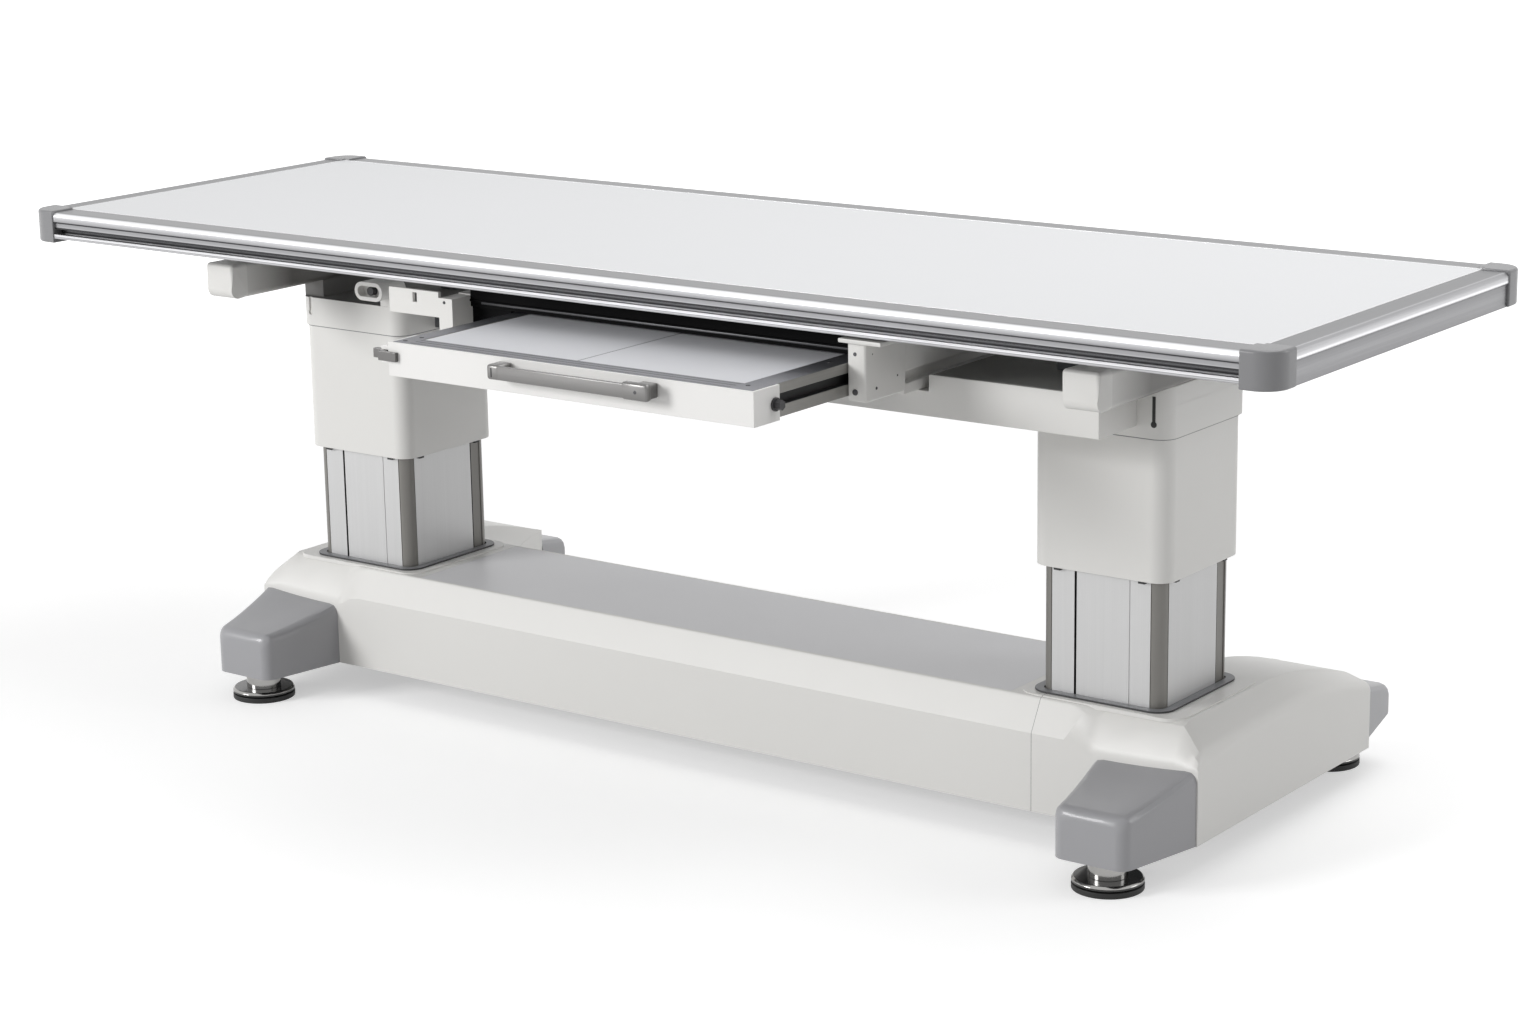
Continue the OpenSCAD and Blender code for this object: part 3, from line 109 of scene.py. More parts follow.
def makeCamera():
    yaw, pitch, roll = (math.radians(camera[k]) for k in ("yaw", "pitch", "roll"))
    ahead = Vector((-math.sin(yaw) * math.cos(pitch), math.cos(yaw) * math.cos(pitch),
                    math.sin(pitch)))
    right = Vector((math.cos(yaw), math.sin(yaw), 0))
    up = right.cross(ahead)
    turnedRight = right * math.cos(roll) + up * math.sin(roll)
    turnedUp = up * math.cos(roll) - right * math.sin(roll)
    data = bpy.data.cameras.new("photoCamera")
    data.lens = camera["lens"]
    data.sensor_width = camera["sensor"]
    data.clip_end = camera["farClip"]
    cam = bpy.data.objects.new("photoCamera", data)
    bpy.context.scene.collection.objects.link(cam)
    turn = Matrix((turnedRight, turnedUp, -ahead)).transposed().to_4x4()
    cam.matrix_world = Matrix.Translation(place(*camera["place"])) @ turn
    bpy.context.scene.camera = cam


studio = {
    "worldStrength": 0.4,
    "floorColour": (0.78, 0.78, 0.78, 1),
    "glowNear": 0.46,       # under the object, where its shadow lies
    "glowFar": 1.0,
    "glowFrom": 1.9,        # where the glow starts to rise and where it is full
    "glowTo": 5.0,
    "lampKinds": {
        # name: place, aim, size x, size y, power
        "keyLamp": ((-4.9, -7.6, 3.5), (0.0, 0.0, 0.45), 3.0, 3.0, 515),
        "topLamp": ((1.1, 0.9, 3.6), (0.1, 0.0, 0.6), 2.8, 2.0, 42),
        "sideLamp": ((4.6, 2.3, 2.2), (0.6, 0.0, 0.4), 1.8, 1.4, 37),
    },
    "floorSize": 60,
}


def makeLamps():
    for name, (spot, aim, wide, deep, power) in studio["lampKinds"].items():
        data = bpy.data.lights.new(name, "AREA")
        data.shape = "RECTANGLE"
        data.size = wide
        data.size_y = deep
        data.energy = power
        lamp = bpy.data.objects.new(name, data)
        bpy.context.scene.collection.objects.link(lamp)
        lamp.location = spot
        lamp.rotation_euler = (Vector(aim) - Vector(spot)).to_track_quat("-Z", "Y").to_euler()


def makeWorld():
    world = bpy.data.worlds.new("paleRoom")
    bpy.context.scene.world = world
    world.use_nodes = True
    tree = world.node_tree
    tree.nodes.clear()
    out = tree.nodes.new("ShaderNodeOutputWorld")
    soft = tree.nodes.new("ShaderNodeBackground")
    soft.inputs["Color"].default_value = (1, 1, 1, 1)
    soft.inputs["Strength"].default_value = studio["worldStrength"]
    white = tree.nodes.new("ShaderNodeBackground")
    white.inputs["Color"].default_value = (1, 1, 1, 1)
    white.inputs["Strength"].default_value = 1
    mix = tree.nodes.new("ShaderNodeMixShader")
    tree.links.new(seenMask(tree), mix.inputs["Fac"])
    tree.links.new(soft.outputs[0], mix.inputs[1])
    tree.links.new(white.outputs[0], mix.inputs[2])
    tree.links.new(mix.outputs[0], out.inputs["Surface"])


def makeFloor():
    bm = bmesh.new()
    bmesh.ops.create_grid(bm, x_segments=1, y_segments=1, size=studio["floorSize"] / 2)
    mesh = bpy.data.meshes.new("studioFloor")
    bm.to_mesh(mesh)
    bm.free()
    floor = bpy.data.objects.new("studioFloor", mesh)
    bpy.context.scene.collection.objects.link(floor)
    material = bpy.data.materials.new("studioWhite")
    material.use_nodes = True
    tree = material.node_tree
    tree.nodes.clear()
    out = tree.nodes.new("ShaderNodeOutputMaterial")
    diffuse = tree.nodes.new("ShaderNodeBsdfDiffuse")
    diffuse.inputs["Color"].default_value = studio["floorColour"]
    glow = tree.nodes.new("ShaderNodeEmission")
    glow.inputs["Color"].default_value = (1, 1, 1, 1)
    coords = tree.nodes.new("ShaderNodeTexCoord")
    reach = tree.nodes.new("ShaderNodeVectorMath")
    reach.operation = "LENGTH"
    rise = tree.nodes.new("ShaderNodeMapRange")
    rise.inputs["From Min"].default_value = studio["glowFrom"]
    rise.inputs["From Max"].default_value = studio["glowTo"]
    rise.inputs["To Min"].default_value = studio["glowNear"]
    rise.inputs["To Max"].default_value = studio["glowFar"]
    tree.links.new(coords.outputs["Object"], reach.inputs[0])
    tree.links.new(reach.outputs["Value"], rise.inputs["Value"])
    tree.links.new(rise.outputs["Result"], glow.inputs["Strength"])
    both = tree.nodes.new("ShaderNodeAddShader")
    mix = tree.nodes.new("ShaderNodeMixShader")
    tree.links.new(seenMask(tree), mix.inputs["Fac"])
    tree.links.new(diffuse.outputs[0], both.inputs[0])
    tree.links.new(glow.outputs[0], both.inputs[1])
    tree.links.new(diffuse.outputs[0], mix.inputs[1])
    tree.links.new(both.outputs[0], mix.inputs[2])
    tree.links.new(mix.outputs[0], out.inputs["Surface"])
    mesh.materials.append(material)


bpy.context.scene.view_settings.view_transform = "Standard"
makeCamera()
makeLamps()
makeWorld()
makeFloor()
print("studio ready")

# Shared surface effects

skinPattern = {
    # scale, detail and roughness of the noises, and the detail of the orange peel
    "cloud": (3.1, 3, 0.5),
    "smear": (14.0, 5, 0.6),
    "peelDetail": 2,
}
linePattern = {
    # detail and roughness of the fine lines; size, detail and share of the broad ones
    "fine": (6, 0.75),
    "fineShare": 0.7,
    "broadScale": 0.13,
    "broadDetail": 3,
    "broadShare": 0.3,
}


def newGroup(name, inputs, outputs):
    group = bpy.data.node_groups.new(name, "ShaderNodeTree")
    for label, kind, value in inputs:
        socket = group.interface.new_socket(label, in_out="INPUT", socket_type=kind)
        if value is not None:
            socket.default_value = value
    for label, kind in outputs:
        group.interface.new_socket(label, in_out="OUTPUT", socket_type=kind)
    start = group.nodes.new("NodeGroupInput")
    end = group.nodes.new("NodeGroupOutput")
    return group, start, end


def addNoise(tree, vector, scale, detail, roughness=0.5):
    noise = tree.nodes.new("ShaderNodeTexNoise")
    noise.inputs["Detail"].default_value = detail
    noise.inputs["Roughness"].default_value = roughness
    if isinstance(scale, (int, float)):
        noise.inputs["Scale"].default_value = scale
    else:
        tree.links.new(scale, noise.inputs["Scale"])
    tree.links.new(vector, noise.inputs["Vector"])
    return noise.outputs["Fac"]


def spread(tree, value, low, high):
    node = tree.nodes.new("ShaderNodeMapRange")
    tree.links.new(value, node.inputs["Value"])
    for label, v in (("To Min", low), ("To Max", high)):
        if isinstance(v, (int, float)):
            node.inputs[label].default_value = v
        else:
            tree.links.new(v, node.inputs[label])
    return node.outputs["Result"]


def makePaintSkin():
    # fine orange peel, soft broad clouds, and the gloss that wanders with them
    group, start, end = newGroup(
        "paintSkin",
        [("Vector", "NodeSocketVector", None), ("Peel Scale", "NodeSocketFloat", 900.0),
         ("Gloss Low", "NodeSocketFloat", 0.3), ("Gloss High", "NodeSocketFloat", 0.4),
         ("Clouds", "NodeSocketFloat", 0.02)],
        [("Tone", "NodeSocketFloat"), ("Roughness", "NodeSocketFloat"),
         ("Height", "NodeSocketFloat")])
    vector = start.outputs["Vector"]
    peel = addNoise(group, vector, start.outputs["Peel Scale"], skinPattern["peelDetail"])
    cloud = addNoise(group, vector, *skinPattern["cloud"])
    smear = addNoise(group, vector, *skinPattern["smear"])
    tone = addMath(group, "MULTIPLY", addMath(group, "SUBTRACT", cloud, 0.5),
                   start.outputs["Clouds"])
    group.links.new(addMath(group, "ADD", tone, 1.0), end.inputs["Tone"])
    group.links.new(spread(group, smear, start.outputs["Gloss Low"], start.outputs["Gloss High"]),
                    end.inputs["Roughness"])
    group.links.new(peel, end.inputs["Height"])
    return group


def makeDrawnLines():
    # hair lines left by drawing or brushing, stretched along one axis
    group, start, end = newGroup(
        "drawnLines",
        [("Vector", "NodeSocketVector", None), ("Fine Scale", "NodeSocketFloat", 1.0),
         ("Gloss Low", "NodeSocketFloat", 0.3), ("Gloss High", "NodeSocketFloat", 0.5),
         ("Contrast", "NodeSocketFloat", 0.1)],
        [("Tone", "NodeSocketFloat"), ("Roughness", "NodeSocketFloat"),
         ("Height", "NodeSocketFloat")])
    vector = start.outputs["Vector"]
    lines = addNoise(group, vector, start.outputs["Fine Scale"], *linePattern["fine"])
    broadScale = addMath(group, "MULTIPLY", start.outputs["Fine Scale"], linePattern["broadScale"])
    broad = addNoise(group, vector, broadScale, linePattern["broadDetail"])
    both = addMath(group, "ADD", addMath(group, "MULTIPLY", lines, linePattern["fineShare"]),
                   addMath(group, "MULTIPLY", broad, linePattern["broadShare"]))
    tone = addMath(group, "MULTIPLY", addMath(group, "SUBTRACT", both, 0.5),
                   start.outputs["Contrast"])
    group.links.new(addMath(group, "ADD", tone, 1.0), end.inputs["Tone"])
    group.links.new(spread(group, lines, start.outputs["Gloss Low"], start.outputs["Gloss High"]),
                    end.inputs["Roughness"])
    group.links.new(lines, end.inputs["Height"])
    return group


paintSkin = makePaintSkin()
drawnLines = makeDrawnLines()
paintBump = (0.12, 0.0002)      # strength and depth of the smooth paint's bump
lineDepth = 0.0004              # how deep the hair lines' bump goes
bandedBase = (190, 190, 190)    # the banded rails' colour where no height is read
bandedBlue = 2                  # how much bluer than grey the rails are


def newMaterial(name, colour, metallic=0.0, coat=0.0, specular=0.5):
    material = bpy.data.materials.new(name)
    material.use_nodes = True
    tree = material.node_tree
    shader = tree.nodes["Principled BSDF"]
    shader.inputs["Base Color"].default_value = linear(*colour)
    shader.inputs["Metallic"].default_value = metallic
    shader.inputs["Coat Weight"].default_value = coat
    shader.inputs["Specular IOR Level"].default_value = specular
    return material, tree, shader


def toneMix(tree, shader, tone):
    # the tone group's value scales the colour that is given to A
    mix = tree.nodes.new("ShaderNodeMix")
    mix.data_type = "RGBA"
    mix.blend_type = "MULTIPLY"
    mix.inputs["Factor"].default_value = 1
    tree.links.new(tone, mix.inputs["B"])
    tree.links.new(mix.outputs["Result"], shader.inputs["Base Color"])
    return mix.inputs["A"]


def bumped(tree, shader, height, strength, distance):
    bump = tree.nodes.new("ShaderNodeBump")
    bump.inputs["Strength"].default_value = strength
    bump.inputs["Distance"].default_value = distance
    tree.links.new(height, bump.inputs["Height"])
    tree.links.new(bump.outputs["Normal"], shader.inputs["Normal"])


def objectVector(tree, stretch=(1, 1, 1)):
    coords = tree.nodes.new("ShaderNodeTexCoord")
    mapping = tree.nodes.new("ShaderNodeMapping")
    mapping.inputs["Scale"].default_value = stretch
    tree.links.new(coords.outputs["Object"], mapping.inputs["Vector"])
    return mapping.outputs["Vector"]


def addSkin(tree):
    skin = tree.nodes.new("ShaderNodeGroup")
    skin.node_tree = paintSkin
    tree.links.new(objectVector(tree), skin.inputs["Vector"])
    return skin


def addLines(tree, shader, stretch, gloss, contrast, strength):
    # hair lines with their gloss and their bump; the tone is left to the caller
    lines = tree.nodes.new("ShaderNodeGroup")
    lines.node_tree = drawnLines
    tree.links.new(objectVector(tree, stretch), lines.inputs["Vector"])
    lines.inputs["Gloss Low"].default_value = gloss[0]
    lines.inputs["Gloss High"].default_value = gloss[1]
    lines.inputs["Contrast"].default_value = contrast
    tree.links.new(lines.outputs["Roughness"], shader.inputs["Roughness"])
    bumped(tree, shader, lines.outputs["Height"], strength, lineDepth)
    return lines.outputs["Tone"]


def skinnedMaterial(name, colour, peel, gloss, clouds, strength, distance, **extra):
    material, tree, shader = newMaterial(name, colour, **extra)
    skin = addSkin(tree)
    skin.inputs["Peel Scale"].default_value = peel
    skin.inputs["Gloss Low"].default_value = gloss[0]
    skin.inputs["Gloss High"].default_value = gloss[1]
    skin.inputs["Clouds"].default_value = clouds
    toneMix(tree, shader, skin.outputs["Tone"]).default_value = linear(*colour)
    tree.links.new(skin.outputs["Roughness"], shader.inputs["Roughness"])
    bumped(tree, shader, skin.outputs["Height"], strength, distance)
    return material


def drawnMaterial(name, colour, stretch, gloss, contrast, strength, **extra):
    material, tree, shader = newMaterial(name, colour, **extra)
    tone = addLines(tree, shader, stretch, gloss, contrast, strength)
    toneMix(tree, shader, tone).default_value = linear(*colour)
    return material


# The rails' tones: height over the floor at rest in millimetres, screen grey. They are set
# beside the photo, where the metal partly mirrors its room, so other light doesn't change them:
# the metal's own tone with painted reflection and highlight, and painted shade in the slot and
# grooves.
# They follow the rail's section from its foot over the slot and the ledge to the roll.

railReflectionAndShade = [
    (729.0, 120), (729.8, 150), (731.2, 172), (732.0, 116), (733.2, 204), (735.6, 178),
    (736.4, 40), (738.6, 60), (740.0, 92), (741.4, 34), (743.0, 74), (746.4, 40), (746.9, 156),
    (748.6, 142), (752.6, 130), (753.4, 58), (755.2, 56), (755.9, 124), (757.5, 146),
    (760.5, 160), (763.5, 180), (765.8, 240), (768.2, 244), (769.2, 180), (769.9, 138),
]
endRailReflectionAndShade = [
    (722.0, 104), (723.0, 132), (738.0, 146), (751.5, 128), (753.2, 118), (754.6, 176),
    (757.0, 232), (760.0, 190), (765.5, 172), (768.8, 160), (769.6, 176), (769.95, 128),
]


def paintedReflectionBands(name, bands, stretch, gloss, contrast, strength, **extra):
    # drawn metal whose tone follows the height on the rail: painted reflection, highlight and
    # shade in bands
    low, high = bands[0][0], bands[-1][0]
    material, tree, shader = newMaterial(name, bandedBase, **extra)
    coords = tree.nodes.new("ShaderNodeTexCoord")
    split = tree.nodes.new("ShaderNodeSeparateXYZ")
    tree.links.new(coords.outputs["Object"], split.inputs["Vector"])
    height = tree.nodes.new("ShaderNodeMapRange")
    height.inputs["From Min"].default_value = low * 0.001
    height.inputs["From Max"].default_value = high * 0.001
    tree.links.new(split.outputs["Z"], height.inputs["Value"])
    ramp = tree.nodes.new("ShaderNodeValToRGB")
    stops = ramp.color_ramp.elements
    while len(stops) < len(bands):
        stops.new(1.0)
    for stop, (z, grey) in zip(stops, bands):
        stop.position = (z - low) / (high - low)
        stop.color = linear(grey, grey, min(grey + bandedBlue, 255))
    tree.links.new(height.outputs["Result"], ramp.inputs["Fac"])
    tone = addLines(tree, shader, stretch, gloss, contrast, strength)
    tree.links.new(ramp.outputs["Color"], toneMix(tree, shader, tone))
    return material


def shadedPaint(name, light, dark, near, far):
    # paint that darkens from the beams' ends to their middle: the shade under the top, painted in
    material, tree, shader = newMaterial(name, light)
    coords = tree.nodes.new("ShaderNodeTexCoord")
    split = tree.nodes.new("ShaderNodeSeparateXYZ")
    tree.links.new(coords.outputs["Object"], split.inputs["Vector"])
    away = addMath(tree, "ABSOLUTE", addMath(tree, "SUBTRACT", split.outputs["Y"],
                                             designMiddle.y))
    reach = tree.nodes.new("ShaderNodeMapRange")
    reach.inputs["From Min"].default_value = near
    reach.inputs["From Max"].default_value = far
    tree.links.new(away, reach.inputs["Value"])
    skin = addSkin(tree)
    mix = tree.nodes.new("ShaderNodeMix")
    mix.data_type = "RGBA"
    mix.inputs["A"].default_value = linear(*light)
    mix.inputs["B"].default_value = linear(*dark)
    tree.links.new(reach.outputs["Result"], mix.inputs["Factor"])
    tree.links.new(mix.outputs["Result"], shader.inputs["Base Color"])
    tree.links.new(skin.outputs["Roughness"], shader.inputs["Roughness"])
    bumped(tree, shader, skin.outputs["Height"], *paintBump)
    return material


finishes = {
    "warmPaint": skinnedMaterial("warmPaint", (226, 225, 222), 1100, (0.34, 0.42), 0.03,
                                 *paintBump),
    "trayPaint": skinnedMaterial("trayPaint", (236, 235, 233), 1100, (0.34, 0.42), 0.02,
                                 *paintBump),
    "panelLaminate": skinnedMaterial("panelLaminate", (229, 230, 232), 700, (0.3, 0.32), 0.012,
                                     0.015, 0.0001),
    "cassetteSheet": skinnedMaterial("cassetteSheet", (214, 215, 219), 1500, (0.36, 0.44), 0.02,
                                     0.06, 0.0001),
    "beadPaintedHighlight": skinnedMaterial("beadPaintedHighlight", (252, 252, 253), 900, (0.1, 0.16), 0.01, 0.01,
                                 0.0001, coat=1.0, specular=1.0),
    "seamPaintedShade": skinnedMaterial("seamPaintedShade", (112, 112, 114), 900, (0.5, 0.6), 0.04, 0.05,
                                0.0001),
    "jointGrey": skinnedMaterial("jointGrey", (128, 129, 133), 900, (0.4, 0.5), 0.04, 0.05,
                                 0.0001),
    # the control box's lid, and the duct and deck plate, are dark grey: painted shade under the
    # table top
    "lidAndDeckPaintedShade": skinnedMaterial("lidAndDeckPaintedShade", (138, 138, 135), 900, (0.45, 0.55), 0.06, 0.2, 0.0002),
    "plateGrey": skinnedMaterial("plateGrey", (222, 222, 224), 1500, (0.36, 0.44), 0.03,
                                 0.1, 0.0002),
    "capGrey": skinnedMaterial("capGrey", (130, 130, 132), 1900, (0.26, 0.34), 0.04,
                               0.25, 0.0002),
    "footGrey": skinnedMaterial("footGrey", (160, 160, 163), 1900, (0.3, 0.38), 0.04,
                                0.2, 0.0002, coat=0.15),
    "frontRailPaintedReflection": paintedReflectionBands("frontRailPaintedReflection", railReflectionAndShade, (1.6, 420, 420),
                                     (0.26, 0.4), 0.5, 0.12, metallic=0.85),
    "endRailPaintedReflection": paintedReflectionBands("endRailPaintedReflection", endRailReflectionAndShade, (300, 2.4, 300),
                                   (0.28, 0.42), 0.8, 0.12, metallic=0.85),
    "trackAluminium": drawnMaterial("trackAluminium", (186, 186, 188), (3, 700, 700),
                                    (0.3, 0.44), 0.2, 0.12, metallic=0.8),
    "trayBorder": drawnMaterial("trayBorder", (112, 113, 118), (2.2, 260, 260), (0.26, 0.4),
                                0.95, 0.16, metallic=0.8),
    "traySidePaintedReflection": drawnMaterial("traySidePaintedReflection", (150, 149, 146), (420, 1.8, 420), (0.26, 0.4),
                              0.5, 0.14, metallic=0.7),
    "slotPaintedShade": skinnedMaterial("slotPaintedShade", (16, 16, 17), 900, (0.5, 0.6), 0.06, 0.2, 0.0002),
    "gripMetal": drawnMaterial("gripMetal", (122, 121, 120), (4, 500, 500), (0.24, 0.34),
                               0.16, 0.1, metallic=0.85),
    "latchMetal": drawnMaterial("latchMetal", (104, 103, 102), (4, 500, 500), (0.24, 0.34),
                                0.1, 0.1, metallic=0.8),
    "columnAluminium": drawnMaterial("columnAluminium", (196, 196, 196), (600, 600, 2.5),
                                     (0.32, 0.46), 0.2, 0.12, metallic=0.45),
    "postPaintedReflectionShade": drawnMaterial("postPaintedReflectionShade", (124, 122, 118), (500, 500, 1.5),
                                   (0.3, 0.44), 0.24, 0.12, metallic=0.25),
    "chrome": skinnedMaterial("chrome", (168, 167, 165), 300, (0.08, 0.2), 0.02, 0.02, 0.0001,
                              metallic=1.0),
    "footBlack": skinnedMaterial("footBlack", (34, 33, 32), 500, (0.16, 0.26), 0.05, 0.04,
                                 0.0001, coat=0.3),
    "framePaint": skinnedMaterial("framePaint", (92, 94, 97), 900, (0.5, 0.6), 0.06, 0.2, 0.0002),
    "darkSteel": skinnedMaterial("darkSteel", (74, 74, 76), 900, (0.3, 0.42), 0.06, 0.1, 0.0002,
                                 metallic=0.6),
    "bronze": skinnedMaterial("bronze", (190, 152, 98), 700, (0.3, 0.42), 0.08, 0.1, 0.0002,
                              metallic=1.0),
    "blackPaint": skinnedMaterial("blackPaint", (7, 7, 8), 900, (0.5, 0.6), 0.06,
                                  0.2, 0.0002, specular=0.05),
    "beamPaint": shadedPaint("beamPaint", (226, 225, 222), (104, 102, 99), 0.29, 0.17),
    "headTopPaintedShade": skinnedMaterial("headTopPaintedShade", (118, 117, 115), 900, (0.5, 0.6), 0.05, 0.1,
                                 0.0002),
    "blackPlastic": skinnedMaterial("blackPlastic", (28, 28, 30), 1500, (0.42, 0.55), 0.06,
                                    0.3, 0.0002),
    "padRubber": skinnedMaterial("padRubber", (24, 24, 24), 1300, (0.5, 0.65), 0.08, 0.4, 0.0003),
    "gasketRubber": skinnedMaterial("gasketRubber", (126, 127, 130), 1300, (0.4, 0.5), 0.06,
                                    0.3, 0.0002),
    "gasketEdgePaintedShade": skinnedMaterial("gasketEdgePaintedShade", (52, 52, 54), 1300, (0.45, 0.55), 0.06,
                                  0.3, 0.0002),
}
print("materials ready:", len(finishes))

# Finished copies of the CAD nodes: seams merged, edges rounded where edgeRound gives a radius

slotFinish = {
    "warm_white_paint": "warmPaint", "white_laminate": "panelLaminate",
    "brushed_aluminium": "trackAluminium", "plate_grey": "plateGrey", "cap_grey": "capGrey",
    "foot_grey": "footGrey", "chrome": "chrome", "frame_steel": "framePaint",
    "dark_steel": "darkSteel", "bronze": "bronze", "black_paint": "blackPaint",
    "black_plastic": "blackPlastic", "black_rubber": "padRubber",
    "gasket_rubber": "gasketRubber",
}
nodeFinish = {
    "rim_front": "frontRailPaintedReflection", "rim_rear": "frontRailPaintedReflection", "rim_ends": "endRailPaintedReflection",
    "top_rails": "trackAluminium",
    "column_profile_left": "columnAluminium", "column_profile_right": "columnAluminium",
    "inner_columns": "columnAluminium", "tray_front": "trayPaint", "cassette": "cassetteSheet",
    "tray_frame": "trayBorder", "tray_handle": "gripMetal", "tray_latch": "latchMetal",
    "cross_beams": "beamPaint",
    "control_box_lid": "lidAndDeckPaintedShade",
    "tray_knob": "darkSteel",
}
edgeRound = {
    # node: radius of its edges in metres, where 0 leaves them sharp
    "top_panel": 0.0006, "rim_front": 0.0004, "rim_rear": 0.0004, "rim_ends": 0.0005,
    "corner_caps": 0.0016, "column_profile_left": 0.0003, "column_profile_right": 0.0003,
    "base_cover_left": 0.0012, "base_cover_right": 0.0012, "spine_top_plate": 0.0006,
    "foot_cover_front_left": 0.0012, "foot_cover_front_right": 0.0012,
    "foot_cover_rear_left": 0.0012, "foot_cover_rear_right": 0.0012,
    "control_box": 0.0024, "cross_beams": 0.0, "beam_end_caps": 0.0,
    "column_head_left": 0.0012, "column_head_right": 0.0012,
    "column_sleeve_left": 0.001, "column_sleeve_right": 0.001, "column_gaskets": 0.0007,
    "tray_front": 0.0016, "tray_frame": 0.0007, "tray_latch": 0.0022, "tray_knob": 0.0008,
    "cassette": 0.0008,
    "bucky_bracket_left": 0.0022, "bucky_bracket_right": 0.0022, "bucky_housing": 0.0012,
    "lock_magnet": 0.0012, "magnet_core": 0.0008,
    "levelling_foot_front_left": 0.0006, "levelling_foot_front_right": 0.0006,
    "levelling_foot_rear_left": 0.0006, "levelling_foot_rear_right": 0.0006,
    "foot_pad_front_left": 0.0008, "foot_pad_front_right": 0.0008,
    "foot_pad_rear_left": 0.0008, "foot_pad_rear_right": 0.0008,
}

# Which faces of a node take another finish. A face is known by its middle, in millimetres from
# the columns' middle, and by the way it faces.

faceLimits = {
    "columnX": 680,                 # from the middle to a column's axis
    "post": 77.2,                   # from that axis to a corner post's inner edges
    "recess": 93,                   # from that axis to the recess beside the rear posts
    "recessSpan": (58.5, 79),       # how far forward and back it lies
    "groove": (88.5, 93.4),         # from that axis to a groove's bottom
    "grooveEnd": 77,                # half a groove's width
    "headTop": 626.5,               # over this a head's faces are its top
    "sideways": 0.7,                # a facing's share along X from which it is a side
    "traySlots": ((425, 436.2), (-177.6, -166)),    # the tray's side rails along X
    "traySlotSpan": (660.5, 676.5),                 # their slots' heights
    "gasketFlat": 0.75,             # a facing's share along Z under which it is the edge
    "footPlate": 17.5,              # under this a foot is its plate
    "footRim": (13.2, 16.9),        # heights of the plate's bevelled rim
    "footRimTilt": (0.2, 0.97),
}


def within(value, limits):
    return limits[0] < value < limits[1]


def isCornerPost(spot, facing):
    across = abs(abs(spot.x) - faceLimits["columnX"])
    deep = abs(spot.y)
    return (min(across, deep) > faceLimits["post"]
            or (across > faceLimits["recess"] and within(deep, faceLimits["recessSpan"])))


# a groove's bottom takes black: painted shade in the groove
def isGroove(spot, facing):
    reach = abs(abs(spot.x) - faceLimits["columnX"]), abs(spot.y)
    return within(max(reach), faceLimits["groove"]) and min(reach) < faceLimits["grooveEnd"]


def isHeadTop(spot, facing):
    return spot.z > faceLimits["headTop"]


def isSide(spot, facing):
    return abs(facing.x) > faceLimits["sideways"]


# the tray rails' slots take black: painted shade in the slots
def isTraySlot(spot, facing):
    return (any(within(spot.x, slot) for slot in faceLimits["traySlots"])
            and within(spot.z, faceLimits["traySlotSpan"]))


def isGasketEdge(spot, facing):
    return abs(facing.z) < faceLimits["gasketFlat"]


def isFootPlate(spot, facing):
    return spot.z < faceLimits["footPlate"]


def isFootRim(spot, facing):
    return within(spot.z, faceLimits["footRim"]) and within(facing.z, faceLimits["footRimTilt"])


faceFinish = {
    # the corner posts take a darker metal, a painted dark reflection; the recess beside the rear
    # posts takes it too, as painted shade
    "column_profile_left": [("postPaintedReflectionShade", isCornerPost), ("slotPaintedShade", isGroove)],
    "column_profile_right": [("postPaintedReflectionShade", isCornerPost), ("slotPaintedShade", isGroove)],
    # the heads' tops take a darker grey: painted shade under the table top
    "column_head_left": [("headTopPaintedShade", isHeadTop)],
    "column_head_right": [("headTopPaintedShade", isHeadTop)],
    # the frame's sides take their own drawn metal: its lines run along the rail, and its other
    # tone is painted reflection
    "tray_frame": [("traySidePaintedReflection", isSide), ("slotPaintedShade", isTraySlot)],
    # the gasket's edges take a dark grey: painted shade along its inner and outer edges
    "column_gaskets": [("gasketEdgePaintedShade", isGasketEdge)],
    # the foot plates are black, and their bevelled rims take chrome: a painted highlight on the
    # black plate
    "levelling_foot_front_left": [("footBlack", isFootPlate), ("chrome", isFootRim)],
    "levelling_foot_front_right": [("footBlack", isFootPlate), ("chrome", isFootRim)],
    "levelling_foot_rear_left": [("footBlack", isFootPlate), ("chrome", isFootRim)],
    "levelling_foot_rear_right": [("footBlack", isFootPlate), ("chrome", isFootRim)],
}
smoothAngle = math.radians(28)
flatAngle = math.radians(0.6)   # faces that meet at less are one face
mergeReach = 0.00001


def nodeSlots():
    return {s["node"]: s["material_slot"] for s in frame["record"]["subparts"]}


def bodyOf(node):
    for body, members in frame["record"]["behaviour"]["bodies"].items():
        if node in members:
            return body


def dressNode(node, radius):
    bm = bmesh.new()
    bm.from_mesh(frame["nodes"][node].data)
    bmesh.ops.remove_doubles(bm, verts=bm.verts, dist=mergeReach)
    bmesh.ops.dissolve_limit(bm, angle_limit=flatAngle, verts=bm.verts, edges=bm.edges)
    if radius > 0:
        sharp = [e for e in bm.edges if e.is_manifold and e.calc_face_angle() > smoothAngle]
        bmesh.ops.bevel(bm, geom=sharp, offset=radius, offset_type="OFFSET", affect="EDGES",
                        segments=2, profile=0.5, clamp_overlap=True, material=-1)
    mesh = bpy.data.meshes.new(node + "Finished")
    bm.to_mesh(mesh)
    bm.free()
    mesh.shade_smooth()
    mesh.set_sharp_from_angle(angle=smoothAngle)
    piece = bpy.data.objects.new(node + "Finished", mesh)
    bpy.context.scene.collection.objects.link(piece)
    even = piece.modifiers.new("evenShading", "WEIGHTED_NORMAL")
    even.keep_sharp = True
    return piece


